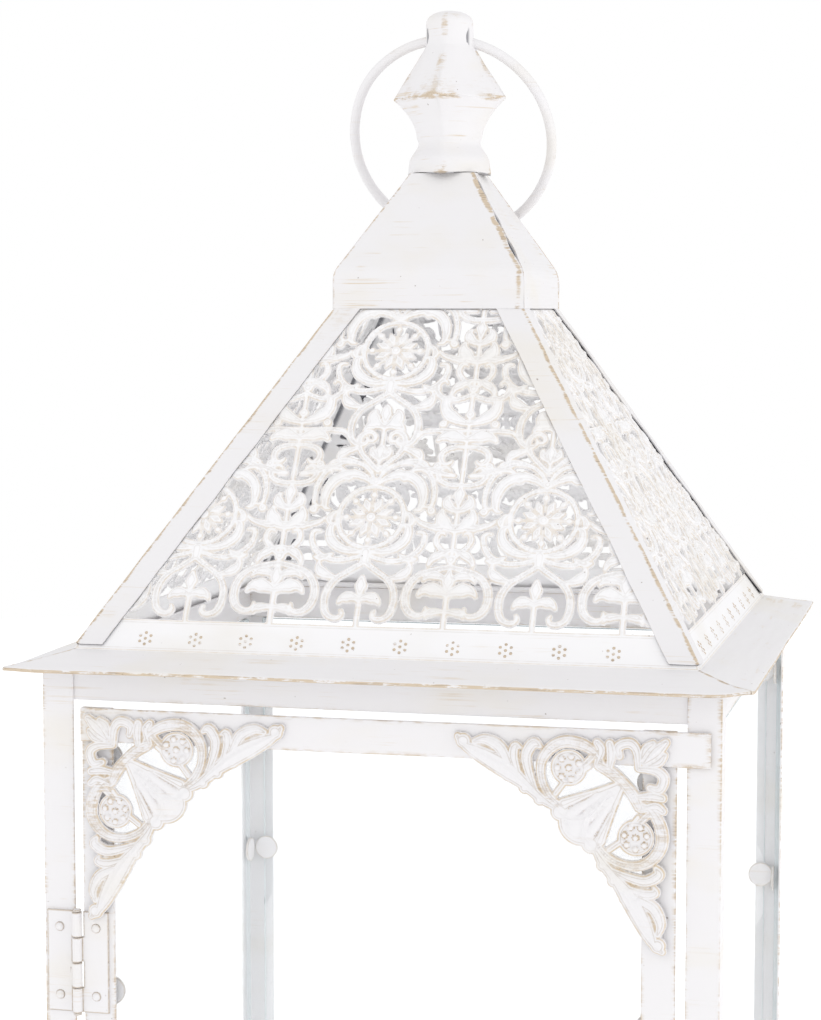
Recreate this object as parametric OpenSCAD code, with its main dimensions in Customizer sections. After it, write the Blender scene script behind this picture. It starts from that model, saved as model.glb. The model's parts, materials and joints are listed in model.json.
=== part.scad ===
// Square candle lantern: pierced pyramid roof, glazed body with a hinged
// front door, cast finial and a swinging carrying ring.
// Millimetres, +Z up. The origin is the centre of the footprint on the ground.
// X runs to the right seen from the door, which faces -Y.

/* [Body] */
// Width and depth over the corner posts
body_w = 250; // [200:1:320]
// Height of the eave's outer edge above the ground
body_h = 395; // [320:1:520]
// Thickness of the steel sheet
sheet_t = 1; // [0.8:0.1:1.4]
// Width of each leg of a corner post
post_w = 12; // [10:0.5:16]
// Height of the body's top and bottom rails
rail_h = 12.7; // [10:0.1:18]
// Thickness of the glass
glass_t = 2; // [1.5:0.1:3]
// How far each glass pane stops short of the ends of the post legs
pane_inset = 8; // [7:0.5:10]

/* [Base] */
// Height of the base plinth
base_h = 20; // [16:1:30]
// Height of the plinth's sloping band
base_slope_h = 5; // [3:0.5:8]
// How far the plinth stands out beyond the posts
base_flare = 11; // [8:0.5:16]
// Width of the plinth's inner ledge and bottom flange
ledge_w = 14; // [10:0.5:16]

/* [Eave] */
// How far the eave stands out beyond the posts
eave_flare = 11; // [8:0.5:16]
// Slope of the eave in degrees
eave_pitch = 14; // [8:1:20]
// Width of the eave, edge to inner lip
eave_w = 24; // [20:0.5:30]
// Extra thickness of the folded edge
hem_t = 0.5; // [0.3:0.1:1]
// Width of the folded edge
hem_w = 3; // [2:0.5:5]

/* [Roof] */
// Distance from the eave's edge in to the foot of the roof panels
panel_set_in = 20; // [14:0.5:22]
// Height from the foot of the panels to the lower edge of the cap
roof_rise = 125.6; // [100:0.2:160]
// Thickness of the folded strips over the hips
hip_t = 0.8; // [0.6:0.1:1.2]
// Width of a hip strip on each side of the hip
hip_w = 10; // [8:0.5:14]
// Size of the openings in a roof panel
pierce_d = 11; // [8:0.5:14]
// Distance between the openings in a roof panel
pierce_pitch = 22; // [18:0.5:30]

/* [Cap] */
// Width of the cap over its upright skirt
cap_w = 76; // [60:1:92]
// Height of the cap's upright skirt
cap_skirt_h = 14; // [10:0.5:20]
// Height of the cap's sloping sides
cap_rise = 39.4; // [30:0.2:50]
// Width of the cap's flat top
cap_top_w = 26; // [22:0.5:34]
// Height of the turned-in lip at the foot of the cap
cap_lip_h = 1.6; // [1:0.1:3]

/* [Finial and ring] */
// Height of the finial
finial_h = 64.5; // [56:0.5:80]
// Half the corner-to-corner width at the widest place
finial_wide = 23.2; // [18:0.2:26]
// Half the corner-to-corner width of the neck
finial_neck = 9.5; // [8.5:0.1:12]
// Half the corner-to-corner width of the waist
finial_waist = 13.2; // [11:0.2:16]
// Half the corner-to-corner width of the foot
finial_foot = 16.8; // [14:0.2:18]
// Distance from the finial's top down to the ring hole
ring_hole_drop = 10.5; // [10:0.5:14]
// Radius of the ring at the middle of its wire
ring_r = 41; // [38:0.5:50]
// Diameter of the ring's wire
wire_d = 4; // [3:0.1:5]
// How far the wire hangs below the middle of the hole
ring_sag = 0.9; // [0.5:0.1:1.5]
// Slope of the hole, which was drilled a little askew
hole_skew = 3.5; // [0:0.5:5]
// Diameter of the screw that holds the finial
screw_d = 5; // [4:0.5:6]
// Length of the screw inside the finial
screw_grip = 14; // [10:1:18]

/* [Door] */
// Gap between the door and each post
door_side_gap = 3.5; // [2:0.1:5]
// Gap above and below the door
door_end_gap = 2.4; // [1.5:0.1:4]
// Thickness of the door's flat bars
door_bar_t = 1.5; // [1:0.1:2.5]
// Width of each door stile
stile_w = 12; // [10:0.5:16]
// Height of each door rail
door_rail_h = 12.4; // [10:0.1:16]
// How far the door rails lap over the right post
rail_lap = 8.3; // [5:0.1:10]
// Size of the corner ornaments along the rail and the stile
spandrel_size = 78; // [60:1:90]
// Depth of a corner ornament from the corner to its hollow edge
spandrel_depth = 52; // [44:1:54]
// Width of an ornament's tips
spandrel_tip = 8; // [6:0.5:10]
// Thickness of a corner ornament
spandrel_t = 1; // [0.8:0.1:1.5]

/* [Glass clips] */
// Diameter of a round glass clip
clip_d = 10.7; // [9:0.1:13]
// Thickness of a round glass clip
clip_t = 1; // [0.8:0.1:1.5]
// Radius of the post that holds a clip
clip_post_r = 1.2; // [1:0.1:1.5]
// Gap between a clip's post and the edge of the glass
clip_gap = 0.8; // [0.5:0.1:1.2]
// Distance of the inner clips from mid height
clip_inner_z = 66; // [50:1:80]
// Distance of the outer clips from the ends of the glass
clip_end_z = 16; // [12:1:24]

/* [Hinges] */
// Height of a hinge
hinge_h = 38; // [30:1:48]
// Distance from the end of the door to the middle of its hinge
hinge_inset = 95; // [60:1:110]
// Diameter of a hinge knuckle
knuckle_d = 3.6; // [3.2:0.1:4.2]
// Diameter of a hinge pin
pin_d = 1.8; // [1.4:0.1:2]
// Width of a hinge leaf beyond the knuckle
leaf_w = 9.7; // [8:0.1:10]
// Thickness of a hinge leaf
leaf_t = 1; // [0.8:0.1:1.2]
// Distance of the rivets from the middle of a hinge
rivet_z = 12.8; // [10:0.2:14]
// Diameter of a rivet's shank
rivet_d = 2; // [1.6:0.1:2.4]
// Diameter of a rivet's head
rivet_head_d = 3.6; // [3:0.1:4.4]
// Height of a rivet's head
rivet_head_h = 1.1; // [0.8:0.1:1.6]

/* [Latch] */
// Thickness of the latch hook
hook_t = 1.2; // [1:0.1:2]
// Width of the hook's arm
hook_w = 5; // [4:0.5:7]
// Diameter of the latch pivot
latch_pivot_d = 2.8; // [2:0.1:4]
// Diameter of the peg that the hook drops over
peg_d = 3; // [2.4:0.1:4]
// Diameter of the heads of the pivot and the peg
latch_head_d = 5.4; // [4.6:0.1:7]
// Thickness of the heads of the pivot and the peg
latch_head_t = 1.2; // [0.8:0.1:2]

/* [Clearances] */
// Gap between pieces that move past each other
move_gap = 0.3; // [0.3:0.05:0.6]
// Radial gap of a pin or shank in its hole
pin_gap = 0.05; // [0.02:0.01:0.1]
// Radial gap of the hook around its peg
peg_gap = 0.5; // [0.4:0.1:1]

/* [Hidden] */
$fn = 48;
WHITE = [0.94, 0.93, 0.91];
GLASS = [0.80, 0.87, 0.88, 0.35];

half = body_w / 2;
post_face = half - sheet_t;
rail_face = post_face - sheet_t;
far = 2 * body_w;

// Eave lines: the top surface falls from the lip to the outer edge
eave_half = half + eave_flare;
eave_fall = tan(eave_pitch);
eave_lip = eave_half - eave_w;
function eave_top(r) = body_h + (eave_half - r) * eave_fall;
function eave_under(r) = eave_top(r) - sheet_t;

// Roof panel lines: the outer surface from the foot up to the cap
foot_half = eave_half - panel_set_in;
foot_z = eave_top(foot_half);
cap_z = foot_z + roof_rise;
hip_lay = hip_t / sin(57);
seat_half = cap_w / 2 - hip_lay - 0.2;
roof_pitch = atan2(roof_rise, foot_half - seat_half);
roof_cot = 1 / tan(roof_pitch);
function roof_out(z) = foot_half - (z - foot_z) * roof_cot;
sheet_run = sheet_t / sin(roof_pitch);
hip_run = hip_t / sin(roof_pitch);
// Where a line set in from the outer surface meets the eave's top
function on_eave(run) = (foot_half - run - (body_h + eave_half * eave_fall - foot_z)
    * roof_cot) / (1 - eave_fall * roof_cot);
panel_top_z = cap_z + 6;
hip_foot_z = foot_z + 1.5;

// Cap levels
kink_z = cap_z + cap_skirt_h;
cap_top_z = kink_z + cap_rise;

// Finial levels, counted from its foot
hole_h = finial_h - ring_hole_drop;
hole_z = cap_top_z + hole_h;
waist_h = finial_h * 0.195;
wide_h = finial_h * 0.44;
neck_h = hole_h - 3.5;
hole_half = finial_neck + 1;
ring_drop = ring_r + ring_sag;
ring_hole_r = ring_drop - sqrt(ring_r * ring_r - hole_half * hole_half)
    + wire_d / 2 + move_gap;
// Lean at which the ring's lowest point rests against the cap's rear slope
cap_run = (cap_w - cap_top_w) / 2;
cap_side = sqrt(cap_run * cap_run + cap_rise * cap_rise);
cap_ny = cap_rise / cap_side;
cap_nz = cap_run / cap_side;
hole_to_slope = (hole_z - kink_z) * cap_nz - cap_w / 2 * cap_ny;
skew_nz = cap_nz * cos(hole_skew);
skew_side = ring_r * cap_nz * sin(hole_skew);
rest_room = wire_d / 2 + move_gap - hole_to_slope;
rest_root = sqrt(pow(rest_room * ring_drop, 2)
    - (ring_drop * ring_drop - ring_r * ring_r)
    * (rest_room * rest_room - skew_side * skew_side));
rest_share = (rest_room * rest_room - skew_side * skew_side)
    / (rest_room * ring_drop - rest_root);
ring_lean = atan2(skew_nz, cap_ny)
    + asin(rest_share / sqrt(cap_ny * cap_ny + skew_nz * skew_nz));

// Door planes, front to back, and its outline
stile_front = half + move_gap;
stile_back = stile_front - door_bar_t;
door_rail_front = stile_front + door_bar_t;
stile_edge = half - post_w - door_side_gap;
rail_bottom_z = body_h - rail_h;
door_top_z = rail_bottom_z - door_end_gap;
door_bottom_z = base_h + rail_h + door_end_gap;
door_mid_z = (door_top_z + door_bottom_z) / 2;
stile_mid = stile_edge - stile_w / 2;
door_glass_half = stile_edge - stile_w * 0.62;
glass_end_gap = 3;

// Panes behind the posts
pane_half = half - pane_inset;
pane_bottom_z = base_h + rail_h + move_gap;
pane_top_z = rail_bottom_z - move_gap;

// Hinge axis and levels
knuckle_r = knuckle_d / 2;
axis_x = -(half - post_w) + 1.3;
axis_y = -(half + knuckle_r + 0.2);
knuckle_h = hinge_h / 4;
leaf_start = knuckle_r + 0.5;
upper_hinge_z = door_top_z - hinge_inset;
lower_hinge_z = door_bottom_z + hinge_inset;
post_rivet_x = axis_x - leaf_start - leaf_w / 2;
door_rivet_x = axis_x + leaf_start + leaf_w / 2;

// Latch places
pivot_x = half - post_w / 2;
hook_reach = pivot_x - stile_mid;
hook_back = stile_front + door_bar_t / 2 + move_gap;
hook_front = hook_back + hook_t;

// ---- helpers ----

// A strip with the outline pts of [distance from centre, height], along
// the front side and mitred at 45 degrees where it meets its neighbours
module mitred(pts) {
    intersection() {
        straight(pts, far);
        linear_extrude(height = 2 * far)
            polygon([[0, 0], [-far, -far], [far, -far]]);
    }
}

// The same outline, cut off square at the given length
module straight(pts, length) {
    rotate([90, 0, 90])
        linear_extrude(height = length, center = true)
            polygon([for (p = pts) [-p[0], p[1]]]);
}

// Turns a front piece to another side: 0 front, 1 right, 2 back, 3 left
module side(k) {
    rotate([0, 0, 90 * k]) children();
}

// A block given by its two opposite corners
module block(low, high) {
    translate(low) cube(high - low);
}

// A round bar along Y from y0 to y1
module bar_y(x, z, r, y0, y1) {
    translate([x, y1, z]) rotate([90, 0, 0]) cylinder(r = r, h = y1 - y0);
}

// A domed head that stands on the plane y = y0 and points to the front
module dome(x, z, d, h, y0) {
    ball = (d * d / 4 + h * h) / (2 * h);
    intersection() {
        translate([x, y0 + ball - h, z]) sphere(r = ball);
        bar_y(x, z, d / 2, y0 - h, y0);
    }
}

// ---- body frame ----

module corner_post() {
    color(WHITE)
        translate([-half, -half, base_h])
            linear_extrude(height = eave_under(half) - base_h)
                polygon([[0, 0], [post_w, 0], [post_w, sheet_t],
                    [sheet_t, sheet_t], [sheet_t, post_w], [0, post_w]]);
}

module corner_post_front_left() {
    difference() {
        corner_post();
        rivet_holes(post_rivet_x);
    }
}

module corner_post_front_right() {
    color(WHITE) difference() {
        mirror([1, 0, 0]) corner_post();
        bar_y(pivot_x, door_mid_z, latch_pivot_d / 2 + pin_gap, -half - 1, -half + 5);
    }
}

module corner_post_back_left() {
    mirror([0, 1, 0]) corner_post();
}

module corner_post_back_right() {
    mirror([1, 0, 0]) mirror([0, 1, 0]) corner_post();
}

module top_rail(length) {
    color(WHITE)
        straight([[post_face, rail_bottom_z], [post_face, eave_under(post_face)],
            [rail_face, eave_under(rail_face)], [rail_face, rail_bottom_z]], length);
}

module bottom_rail(length) {
    color(WHITE)
        straight([[post_face, base_h], [post_face, base_h + rail_h],
            [rail_face, base_h + rail_h], [rail_face, base_h]], length);
}

module floor_plate() {
    color(WHITE)
        block([-rail_face, -rail_face, base_h],
            [rail_face, rail_face, base_h + sheet_t]);
}

module base_strip() {
    out = half + base_flare;
    knee = half + 1;
    color(WHITE)
        mitred([[out - ledge_w, 0], [out, 0], [out, base_h - base_slope_h],
            [knee, base_h], [half - ledge_w, base_h],
            [half - ledge_w, base_h - sheet_t], [knee - sheet_t / 3, base_h - sheet_t],
            [out - sheet_t, base_h - base_slope_h - sheet_t / 3],
            [out - sheet_t, sheet_t], [out - ledge_w, sheet_t]]);
}

// ---- eave and roof ----

module eave_strip() {
    fold = eave_half - hem_w;
    color(WHITE)
        mitred([[eave_half, body_h], [eave_lip, eave_top(eave_lip)],
            [eave_lip, eave_under(eave_lip)], [fold, eave_under(fold)],
            [fold, eave_under(fold) - hem_t],
            [eave_half, eave_under(eave_half) - hem_t]]);
}

module roof_panel() {
    inner = on_eave(sheet_run);
    color(WHITE) difference() {
        mitred([[foot_half, foot_z], [roof_out(panel_top_z), panel_top_z],
            [roof_out(panel_top_z) - sheet_run, panel_top_z],
            [inner, eave_top(inner)]]);
        panel_openings();
    }
}

// Staggered rows of openings, kept clear of the hips and the plain foot band
module panel_openings() {
    first_row = 30;
    edge = hip_w + pierce_d / 2 + 4;
    slope_len = roof_rise / sin(roof_pitch);
    rows = floor((slope_len - first_row - pierce_d / 2 - 4) / pierce_pitch);
    translate([0, -foot_half, foot_z])
        rotate([roof_pitch, 0, 0])
            for (i = [0 : rows]) {
                v = first_row + i * pierce_pitch;
                room = foot_half - v * cos(roof_pitch) - edge;
                shift = i % 2 == 0 ? 0 : 0.5;
                n = floor(room / pierce_pitch - shift);
                for (j = [-n - 2 * shift : n])
                    translate([(j + shift) * pierce_pitch, v, -2 * sheet_t])
                        rotate([0, 0, 22.5])
                            cylinder(d = pierce_d, h = 4 * sheet_t, $fn = 8);
            }
}

// A folded strip over one hip: a layer on both panels, next to the front left hip
module hip_strip() {
    low = hip_foot_z;
    high = cap_z;
    layer = [[roof_out(low), low], [roof_out(low) + hip_run, low],
        [roof_out(high) + hip_run, high], [roof_out(high), high]];
    color(WHITE) union() {
        intersection() {
            mitred(layer);
            hip_band();
        }
        mirror([1, -1, 0]) intersection() {
            mitred(layer);
            hip_band();
        }
    }
}

module hip_band() {
    linear_extrude(height = 2 * far)
        polygon([[0, 0], [-far, -far], [-far + hip_w, -far], [hip_w, 0]]);
}

module roof_cap() {
    out = cap_w / 2;
    top = cap_top_w / 2;
    lean = sheet_t / cap_ny;
    bend = lean - (sheet_t - sheet_t * cap_nz) / cap_ny;
    lip_top = cap_z + cap_lip_h;
    color(WHITE) difference() {
        union() {
            for (k = [0 : 3])
                side(k) mitred([[out, cap_z], [out, kink_z], [top, cap_top_z],
                    [0, cap_top_z], [0, cap_top_z - sheet_t],
                    [top - bend, cap_top_z - sheet_t],
                    [out - sheet_t, kink_z - bend], [out - sheet_t, lip_top],
                    [roof_out(lip_top), lip_top], [roof_out(cap_z), cap_z]]);
        }
        translate([0, 0, cap_top_z - 2 * sheet_t])
            cylinder(d = screw_d + 1, h = 4 * sheet_t);
    }
}

// ---- finial and ring ----

// Half corner-to-corner width between two levels, flat at both ends
function ease(a, b, t) = a + (b - a) * (1 - cos(180 * t)) / 2;
function swell(h0, w0, h1, w1, n) =
    [for (i = [0 : n]) [ease(w0, w1, i / n), h0 + (h1 - h0) * i / n]];

// The same, starting flat and ending in a sharp rim
function flare(h0, w0, h1, w1, n) =
    [for (i = [0 : n]) let (t = i / n)
        [w1 - (w1 - w0) * pow(1 - t * t, 0.6), h0 + (h1 - h0) * t]];

module finial() {
    rim = 4.6;
    dome_h = finial_h - hole_h - ring_hole_r - 1;
    shoulder = finial_h - dome_h;
    edge = concat([[finial_foot, 0]],
        swell(rim, finial_foot - 0.6, waist_h, finial_waist, 6),
        flare(waist_h + 0.01, finial_waist, wide_h, finial_wide, 10),
        [[finial_neck, neck_h]],
        [for (a = [0 : 15 : 75]) [finial_neck * cos(a), shoulder + dome_h * sin(a)]]);
    half_edge = [for (p = edge) [p[0] / sqrt(2), p[1]]];
    outline = concat(half_edge,
        [for (i = [len(half_edge) - 1 : -1 : 0]) [-half_edge[i][0], half_edge[i][1]]]);
    color(WHITE) translate([0, 0, cap_top_z]) difference() {
        rotate([0, 0, 45]) intersection() {
            finial_slab(outline);
            rotate([0, 0, 90]) finial_slab(outline);
        }
        translate([0, 0, hole_h]) rotate([0, 90 + hole_skew, 0])
            cylinder(r = ring_hole_r, h = 4 * finial_wide, center = true);
        translate([0, 0, -1])
            cylinder(r = screw_d / 2 + pin_gap, h = screw_grip + 3);
    }
}

module finial_slab(outline) {
    rotate([90, 0, 0])
        linear_extrude(height = 4 * finial_wide, center = true) polygon(outline);
}

module finial_washer() {
    under = cap_top_z - sheet_t;
    color("silver") translate([0, 0, under - sheet_t]) difference() {
        cylinder(d = screw_d * 2.4, h = sheet_t);
        translate([0, 0, -1]) cylinder(d = screw_d + 0.6, h = sheet_t + 2);
    }
}

module finial_screw() {
    head_h = screw_d * 0.6;
    under = cap_top_z - 2 * sheet_t;
    color("silver") difference() {
        union() {
            translate([0, 0, under - head_h]) cylinder(d = screw_d * 1.8, h = head_h);
            translate([0, 0, under - 0.5])
                cylinder(d = screw_d, h = 2 * sheet_t + screw_grip + 0.5);
        }
        block([-screw_d, -0.6, under - head_h - 1], [screw_d, 0.6, under - head_h + 1.2]);
    }
}

module ring_handle() {
    color(WHITE)
        translate([0, 0, hole_z]) rotate([0, hole_skew, 0]) rotate([ring_lean, 0, 0])
            translate([0, 0, -ring_drop]) rotate([90, 0, 0])
                rotate_extrude() translate([ring_r, 0]) circle(d = wire_d);
}

// ---- fixed glass ----

module glass_pane() {
    color(GLASS)
        block([-pane_half, -post_face, pane_bottom_z],
            [pane_half, -post_face + glass_t, pane_top_z]);
}

// A round clip: a post beside the glass and a disc over the glass edge.
// edge_x is the edge of the glass, out is +1 where the post lies at greater x
module glass_clip(edge_x, out, front, z) {
    post_x = edge_x + out * (clip_gap + clip_post_r);
    disc_x = post_x - out * (clip_d / 2 - clip_post_r - 0.6);
    bar_y(post_x, z, clip_post_r, -front, -front + glass_t + clip_t / 2);
    bar_y(disc_x, z, clip_d / 2, -front + glass_t, -front + glass_t + clip_t);
}

module clip_set(edge, front, low, high) {
    for (s = [-1, 1])
        for (z = [low + clip_end_z, door_mid_z - clip_inner_z,
                door_mid_z + clip_inner_z, high - clip_end_z])
            glass_clip(s * edge, s, front, z);
}

module pane_clips() {
    color(WHITE) for (k = [1 : 3])
        side(k) clip_set(pane_half, post_face, pane_bottom_z, pane_top_z);
}

// ---- door ----

module door_stile() {
    block([-stile_edge, -stile_front, door_bottom_z],
        [-stile_edge + stile_w, -stile_back, door_top_z]);
}

module door_stile_left() {
    color(WHITE) difference() {
        door_stile();
        rivet_holes(door_rivet_x);
    }
}

module door_stile_right() {
    color(WHITE) difference() {
        mirror([1, 0, 0]) door_stile();
        bar_y(stile_mid, door_mid_z, peg_d / 2 + pin_gap, -half - 3, -half + 5);
    }
}

module door_rail(low) {
    color(WHITE)
        block([-stile_edge, -door_rail_front, low],
            [half - post_w + rail_lap, -stile_front, low + door_rail_h]);
}

module door_glass() {
    color(GLASS)
        block([-door_glass_half, -stile_back, door_bottom_z + glass_end_gap],
            [door_glass_half, -stile_back + glass_t, door_top_z - glass_end_gap]);
}

module door_glass_clips() {
    color(WHITE)
        clip_set(door_glass_half, stile_back, door_bottom_z + glass_end_gap,
            door_top_z - glass_end_gap);
}

// A leafy corner sheet with a hollow long edge, for the top left corner
module door_spandrel() {
    s = spandrel_size;
    t = spandrel_tip;
    d = spandrel_depth;
    c = (s * s + t * t - d * d) / (2 * (s + t) - 2 * sqrt(2) * d);
    bite = sqrt(2) * c - d;
    color(WHITE)
        translate([-stile_edge + 1, -door_rail_front, door_top_z - 1])
            rotate([90, 0, 0])
                linear_extrude(height = spandrel_t)
                    difference() {
                        translate([0, -s]) square([s, s]);
                        translate([c, -c]) circle(r = bite, $fn = 160);
                        spandrel_openings();
                    }
}

module spandrel_openings() {
    w = spandrel_size / 78;
    for (p = [[16, 16, 4], [31, 12, 3.4], [46, 9, 2.6], [27, 26, 4.2],
            [12, 31, 3.4], [9, 46, 2.6], [58, 7.5, 2], [7.5, 58, 2]])
        translate([p[0] * w, -p[1] * w]) circle(r = p[2] * w, $fn = 10);
}

// ---- hinges ----

// Leaf and two knuckles about the hinge axis at height z. dir is -1 for the
// post leaf and +1 for the door leaf; front is the face that the leaf lies on
module hinge_leaf(dir, front, first, z) {
    y0 = -front - leaf_t;
    bottom = z - hinge_h / 2;
    x0 = axis_x + dir * leaf_start;
    x1 = x0 + dir * leaf_w;
    color(WHITE) difference() {
        union() {
            block([min(x0, x1), y0, bottom], [max(x0, x1), -front, bottom + hinge_h]);
            for (i = [first : 2 : 3]) {
                low = bottom + i * knuckle_h + move_gap / 2;
                tall = knuckle_h - move_gap;
                translate([axis_x, axis_y, low]) cylinder(r = knuckle_r, h = tall);
                block([min(axis_x, x0), y0, low],
                    [max(axis_x, x0), -front, low + tall]);
            }
        }
        translate([axis_x, axis_y, bottom - 1])
            cylinder(d = pin_d + 2 * pin_gap, h = hinge_h + 2);
        rivet_holes(axis_x + dir * (leaf_start + leaf_w / 2));
    }
}

module hinge_pin(z) {
    head = 0.8;
    color(WHITE) {
        translate([axis_x, axis_y, z - hinge_h / 2 - head])
            cylinder(d = pin_d, h = hinge_h + 2 * head);
        translate([axis_x, axis_y, z + hinge_h / 2]) cylinder(r = knuckle_r - 0.3, h = head);
        translate([axis_x, axis_y, z - hinge_h / 2 - head])
            cylinder(r = knuckle_r - 0.3, h = head);
    }
}

module rivet_holes(x) {
    for (z = [upper_hinge_z, lower_hinge_z])
        for (s = [-1, 1])
            bar_y(x, z + s * rivet_z, rivet_d / 2 + pin_gap, -half - 5, -half + 5);
}

// The four rivets through one side's leaves and the bar of thickness t behind,
// finished flush at the back so that the glass clips can sit beside them
module hinge_rivets(x, front, t) {
    color(WHITE) for (z = [upper_hinge_z, lower_hinge_z])
        for (s = [-1, 1]) {
            dome(x, z + s * rivet_z, rivet_head_d, rivet_head_h, -front - leaf_t);
            bar_y(x, z + s * rivet_z, rivet_d / 2, -front - leaf_t - 0.3, -front + t);
        }
}

// ---- latch ----

// A flat hook that hangs from the right post and turns over onto the peg
module latch_hook() {
    slot = peg_d / 2 + peg_gap;
    tip_r = slot + hook_w / 2;
    color(WHITE)
        translate([pivot_x, -hook_back, door_mid_z]) rotate([90, 0, 0])
            linear_extrude(height = hook_t) difference() {
                union() {
                    circle(r = latch_pivot_d / 2 + hook_w / 2.4);
                    translate([-hook_w / 2, -hook_reach]) square([hook_w, hook_reach]);
                    translate([0, -hook_reach]) circle(r = tip_r);
                }
                circle(d = latch_pivot_d + 2 * pin_gap);
                translate([0, -hook_reach]) circle(r = slot);
                intersection() {
                    difference() {
                        circle(r = hook_reach + slot, $fn = 160);
                        circle(r = hook_reach - slot, $fn = 160);
                    }
                    translate([0, -2 * hook_reach]) square([2 * tip_r, 2 * hook_reach]);
                }
            }
}

module latch_pivot() {
    x = pivot_x;
    z = door_mid_z;
    color(WHITE) {
        bar_y(x, z, latch_pivot_d / 2, -hook_front - move_gap - 0.1, -half + sheet_t + 0.2);
        bar_y(x, z, latch_head_d / 2, -hook_front - move_gap - latch_head_t,
            -hook_front - move_gap);
        bar_y(x, z, latch_head_d / 2 - 0.4, -hook_back + move_gap, -half);
        bar_y(x, z, latch_head_d / 2 - 0.6, -half + sheet_t, -half + sheet_t + 0.6);
    }
}

module latch_peg() {
    x = stile_mid;
    z = door_mid_z;
    color(WHITE) {
        bar_y(x, z, peg_d / 2, -hook_front - move_gap - 0.1, -stile_back);
        bar_y(x, z, latch_head_d / 2, -hook_front - move_gap - latch_head_t,
            -hook_front - move_gap);
    }
}

// ---- the nodes ----

corner_post_front_left();
corner_post_front_right();
corner_post_back_left();
corner_post_back_right();
top_rail(2 * post_face);  // top_rail_front
side(2) top_rail(2 * post_face);  // top_rail_back
side(3) top_rail(2 * rail_face);  // top_rail_left
side(1) top_rail(2 * rail_face);  // top_rail_right
bottom_rail(2 * post_face);  // bottom_rail_front
side(2) bottom_rail(2 * post_face);  // bottom_rail_back
side(3) bottom_rail(2 * rail_face);  // bottom_rail_left
side(1) bottom_rail(2 * rail_face);  // bottom_rail_right
floor_plate();
side(0) base_strip();  // base_strip_front
side(1) base_strip();  // base_strip_right
side(2) base_strip();  // base_strip_back
side(3) base_strip();  // base_strip_left
side(0) eave_strip();  // eave_strip_front
side(1) eave_strip();  // eave_strip_right
side(2) eave_strip();  // eave_strip_back
side(3) eave_strip();  // eave_strip_left
side(0) roof_panel();  // roof_panel_front
side(1) roof_panel();  // roof_panel_right
side(2) roof_panel();  // roof_panel_back
side(3) roof_panel();  // roof_panel_left
side(0) hip_strip();  // hip_strip_front_left
side(1) hip_strip();  // hip_strip_front_right
side(2) hip_strip();  // hip_strip_back_right
side(3) hip_strip();  // hip_strip_back_left
roof_cap();
finial();
finial_screw();
finial_washer();
ring_handle();
side(3) glass_pane();  // glass_pane_left
side(1) glass_pane();  // glass_pane_right
side(2) glass_pane();  // glass_pane_back
pane_clips();
door_stile_left();
door_stile_right();
door_rail(door_top_z - door_rail_h);  // door_rail_top
door_rail(door_bottom_z);  // door_rail_bottom
door_glass();
door_glass_clips();
door_spandrel();  // door_spandrel_left
mirror([1, 0, 0]) door_spandrel();  // door_spandrel_right
hinge_leaf(-1, half, 1, upper_hinge_z);  // hinge_leaf_post_upper
hinge_leaf(-1, half, 1, lower_hinge_z);  // hinge_leaf_post_lower
hinge_leaf(1, stile_front, 0, upper_hinge_z);  // hinge_leaf_door_upper
hinge_leaf(1, stile_front, 0, lower_hinge_z);  // hinge_leaf_door_lower
hinge_pin(upper_hinge_z);  // hinge_pin_upper
hinge_pin(lower_hinge_z);  // hinge_pin_lower
hinge_rivets(post_rivet_x, half, sheet_t);  // hinge_rivets_post
hinge_rivets(door_rivet_x, stile_front, door_bar_t);  // hinge_rivets_door
latch_hook();
latch_pivot();
latch_peg();
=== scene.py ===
"""Looks of the candle lantern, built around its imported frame.

The hinges, rivets, clips and latch keep their frame shapes and get their paint. Pierced
roof panels, door ornaments, folded strips, bars, cap, finial, ring and glass are built
here, placed and sized by the frame. Lengths are metres. Relief, its motifs and names that
end in _MM use millimetres, and so do the wear masks after a division by MM.
"""

import json
import math

import bpy
import numpy as np
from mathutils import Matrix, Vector, noise


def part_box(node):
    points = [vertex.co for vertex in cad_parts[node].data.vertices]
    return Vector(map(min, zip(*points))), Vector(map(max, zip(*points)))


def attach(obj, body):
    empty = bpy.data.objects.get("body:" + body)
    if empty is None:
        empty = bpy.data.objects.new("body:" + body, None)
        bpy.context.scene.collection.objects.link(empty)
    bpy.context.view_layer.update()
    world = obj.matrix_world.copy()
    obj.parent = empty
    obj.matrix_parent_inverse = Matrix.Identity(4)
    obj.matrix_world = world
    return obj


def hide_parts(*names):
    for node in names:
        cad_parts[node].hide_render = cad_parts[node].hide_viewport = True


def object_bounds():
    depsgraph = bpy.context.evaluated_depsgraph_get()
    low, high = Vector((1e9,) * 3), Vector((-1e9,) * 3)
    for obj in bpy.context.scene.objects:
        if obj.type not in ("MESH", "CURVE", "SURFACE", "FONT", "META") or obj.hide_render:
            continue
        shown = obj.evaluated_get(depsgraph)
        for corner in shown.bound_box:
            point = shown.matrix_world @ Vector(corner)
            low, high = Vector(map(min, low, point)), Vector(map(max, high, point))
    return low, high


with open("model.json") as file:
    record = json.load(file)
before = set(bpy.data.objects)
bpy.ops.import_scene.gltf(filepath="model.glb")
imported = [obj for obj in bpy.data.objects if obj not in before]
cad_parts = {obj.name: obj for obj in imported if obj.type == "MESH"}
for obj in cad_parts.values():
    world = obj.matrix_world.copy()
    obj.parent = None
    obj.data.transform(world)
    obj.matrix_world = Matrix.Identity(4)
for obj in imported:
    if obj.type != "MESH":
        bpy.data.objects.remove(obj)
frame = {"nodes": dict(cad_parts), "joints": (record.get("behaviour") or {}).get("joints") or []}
cad_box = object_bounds()
MM = 0.001

# ------------------------------------------------------------ sizes from the frame


def joint(name):
    """The frame's record of one joint."""
    return next(j for j in frame["joints"] if j["name"] == name)


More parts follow.
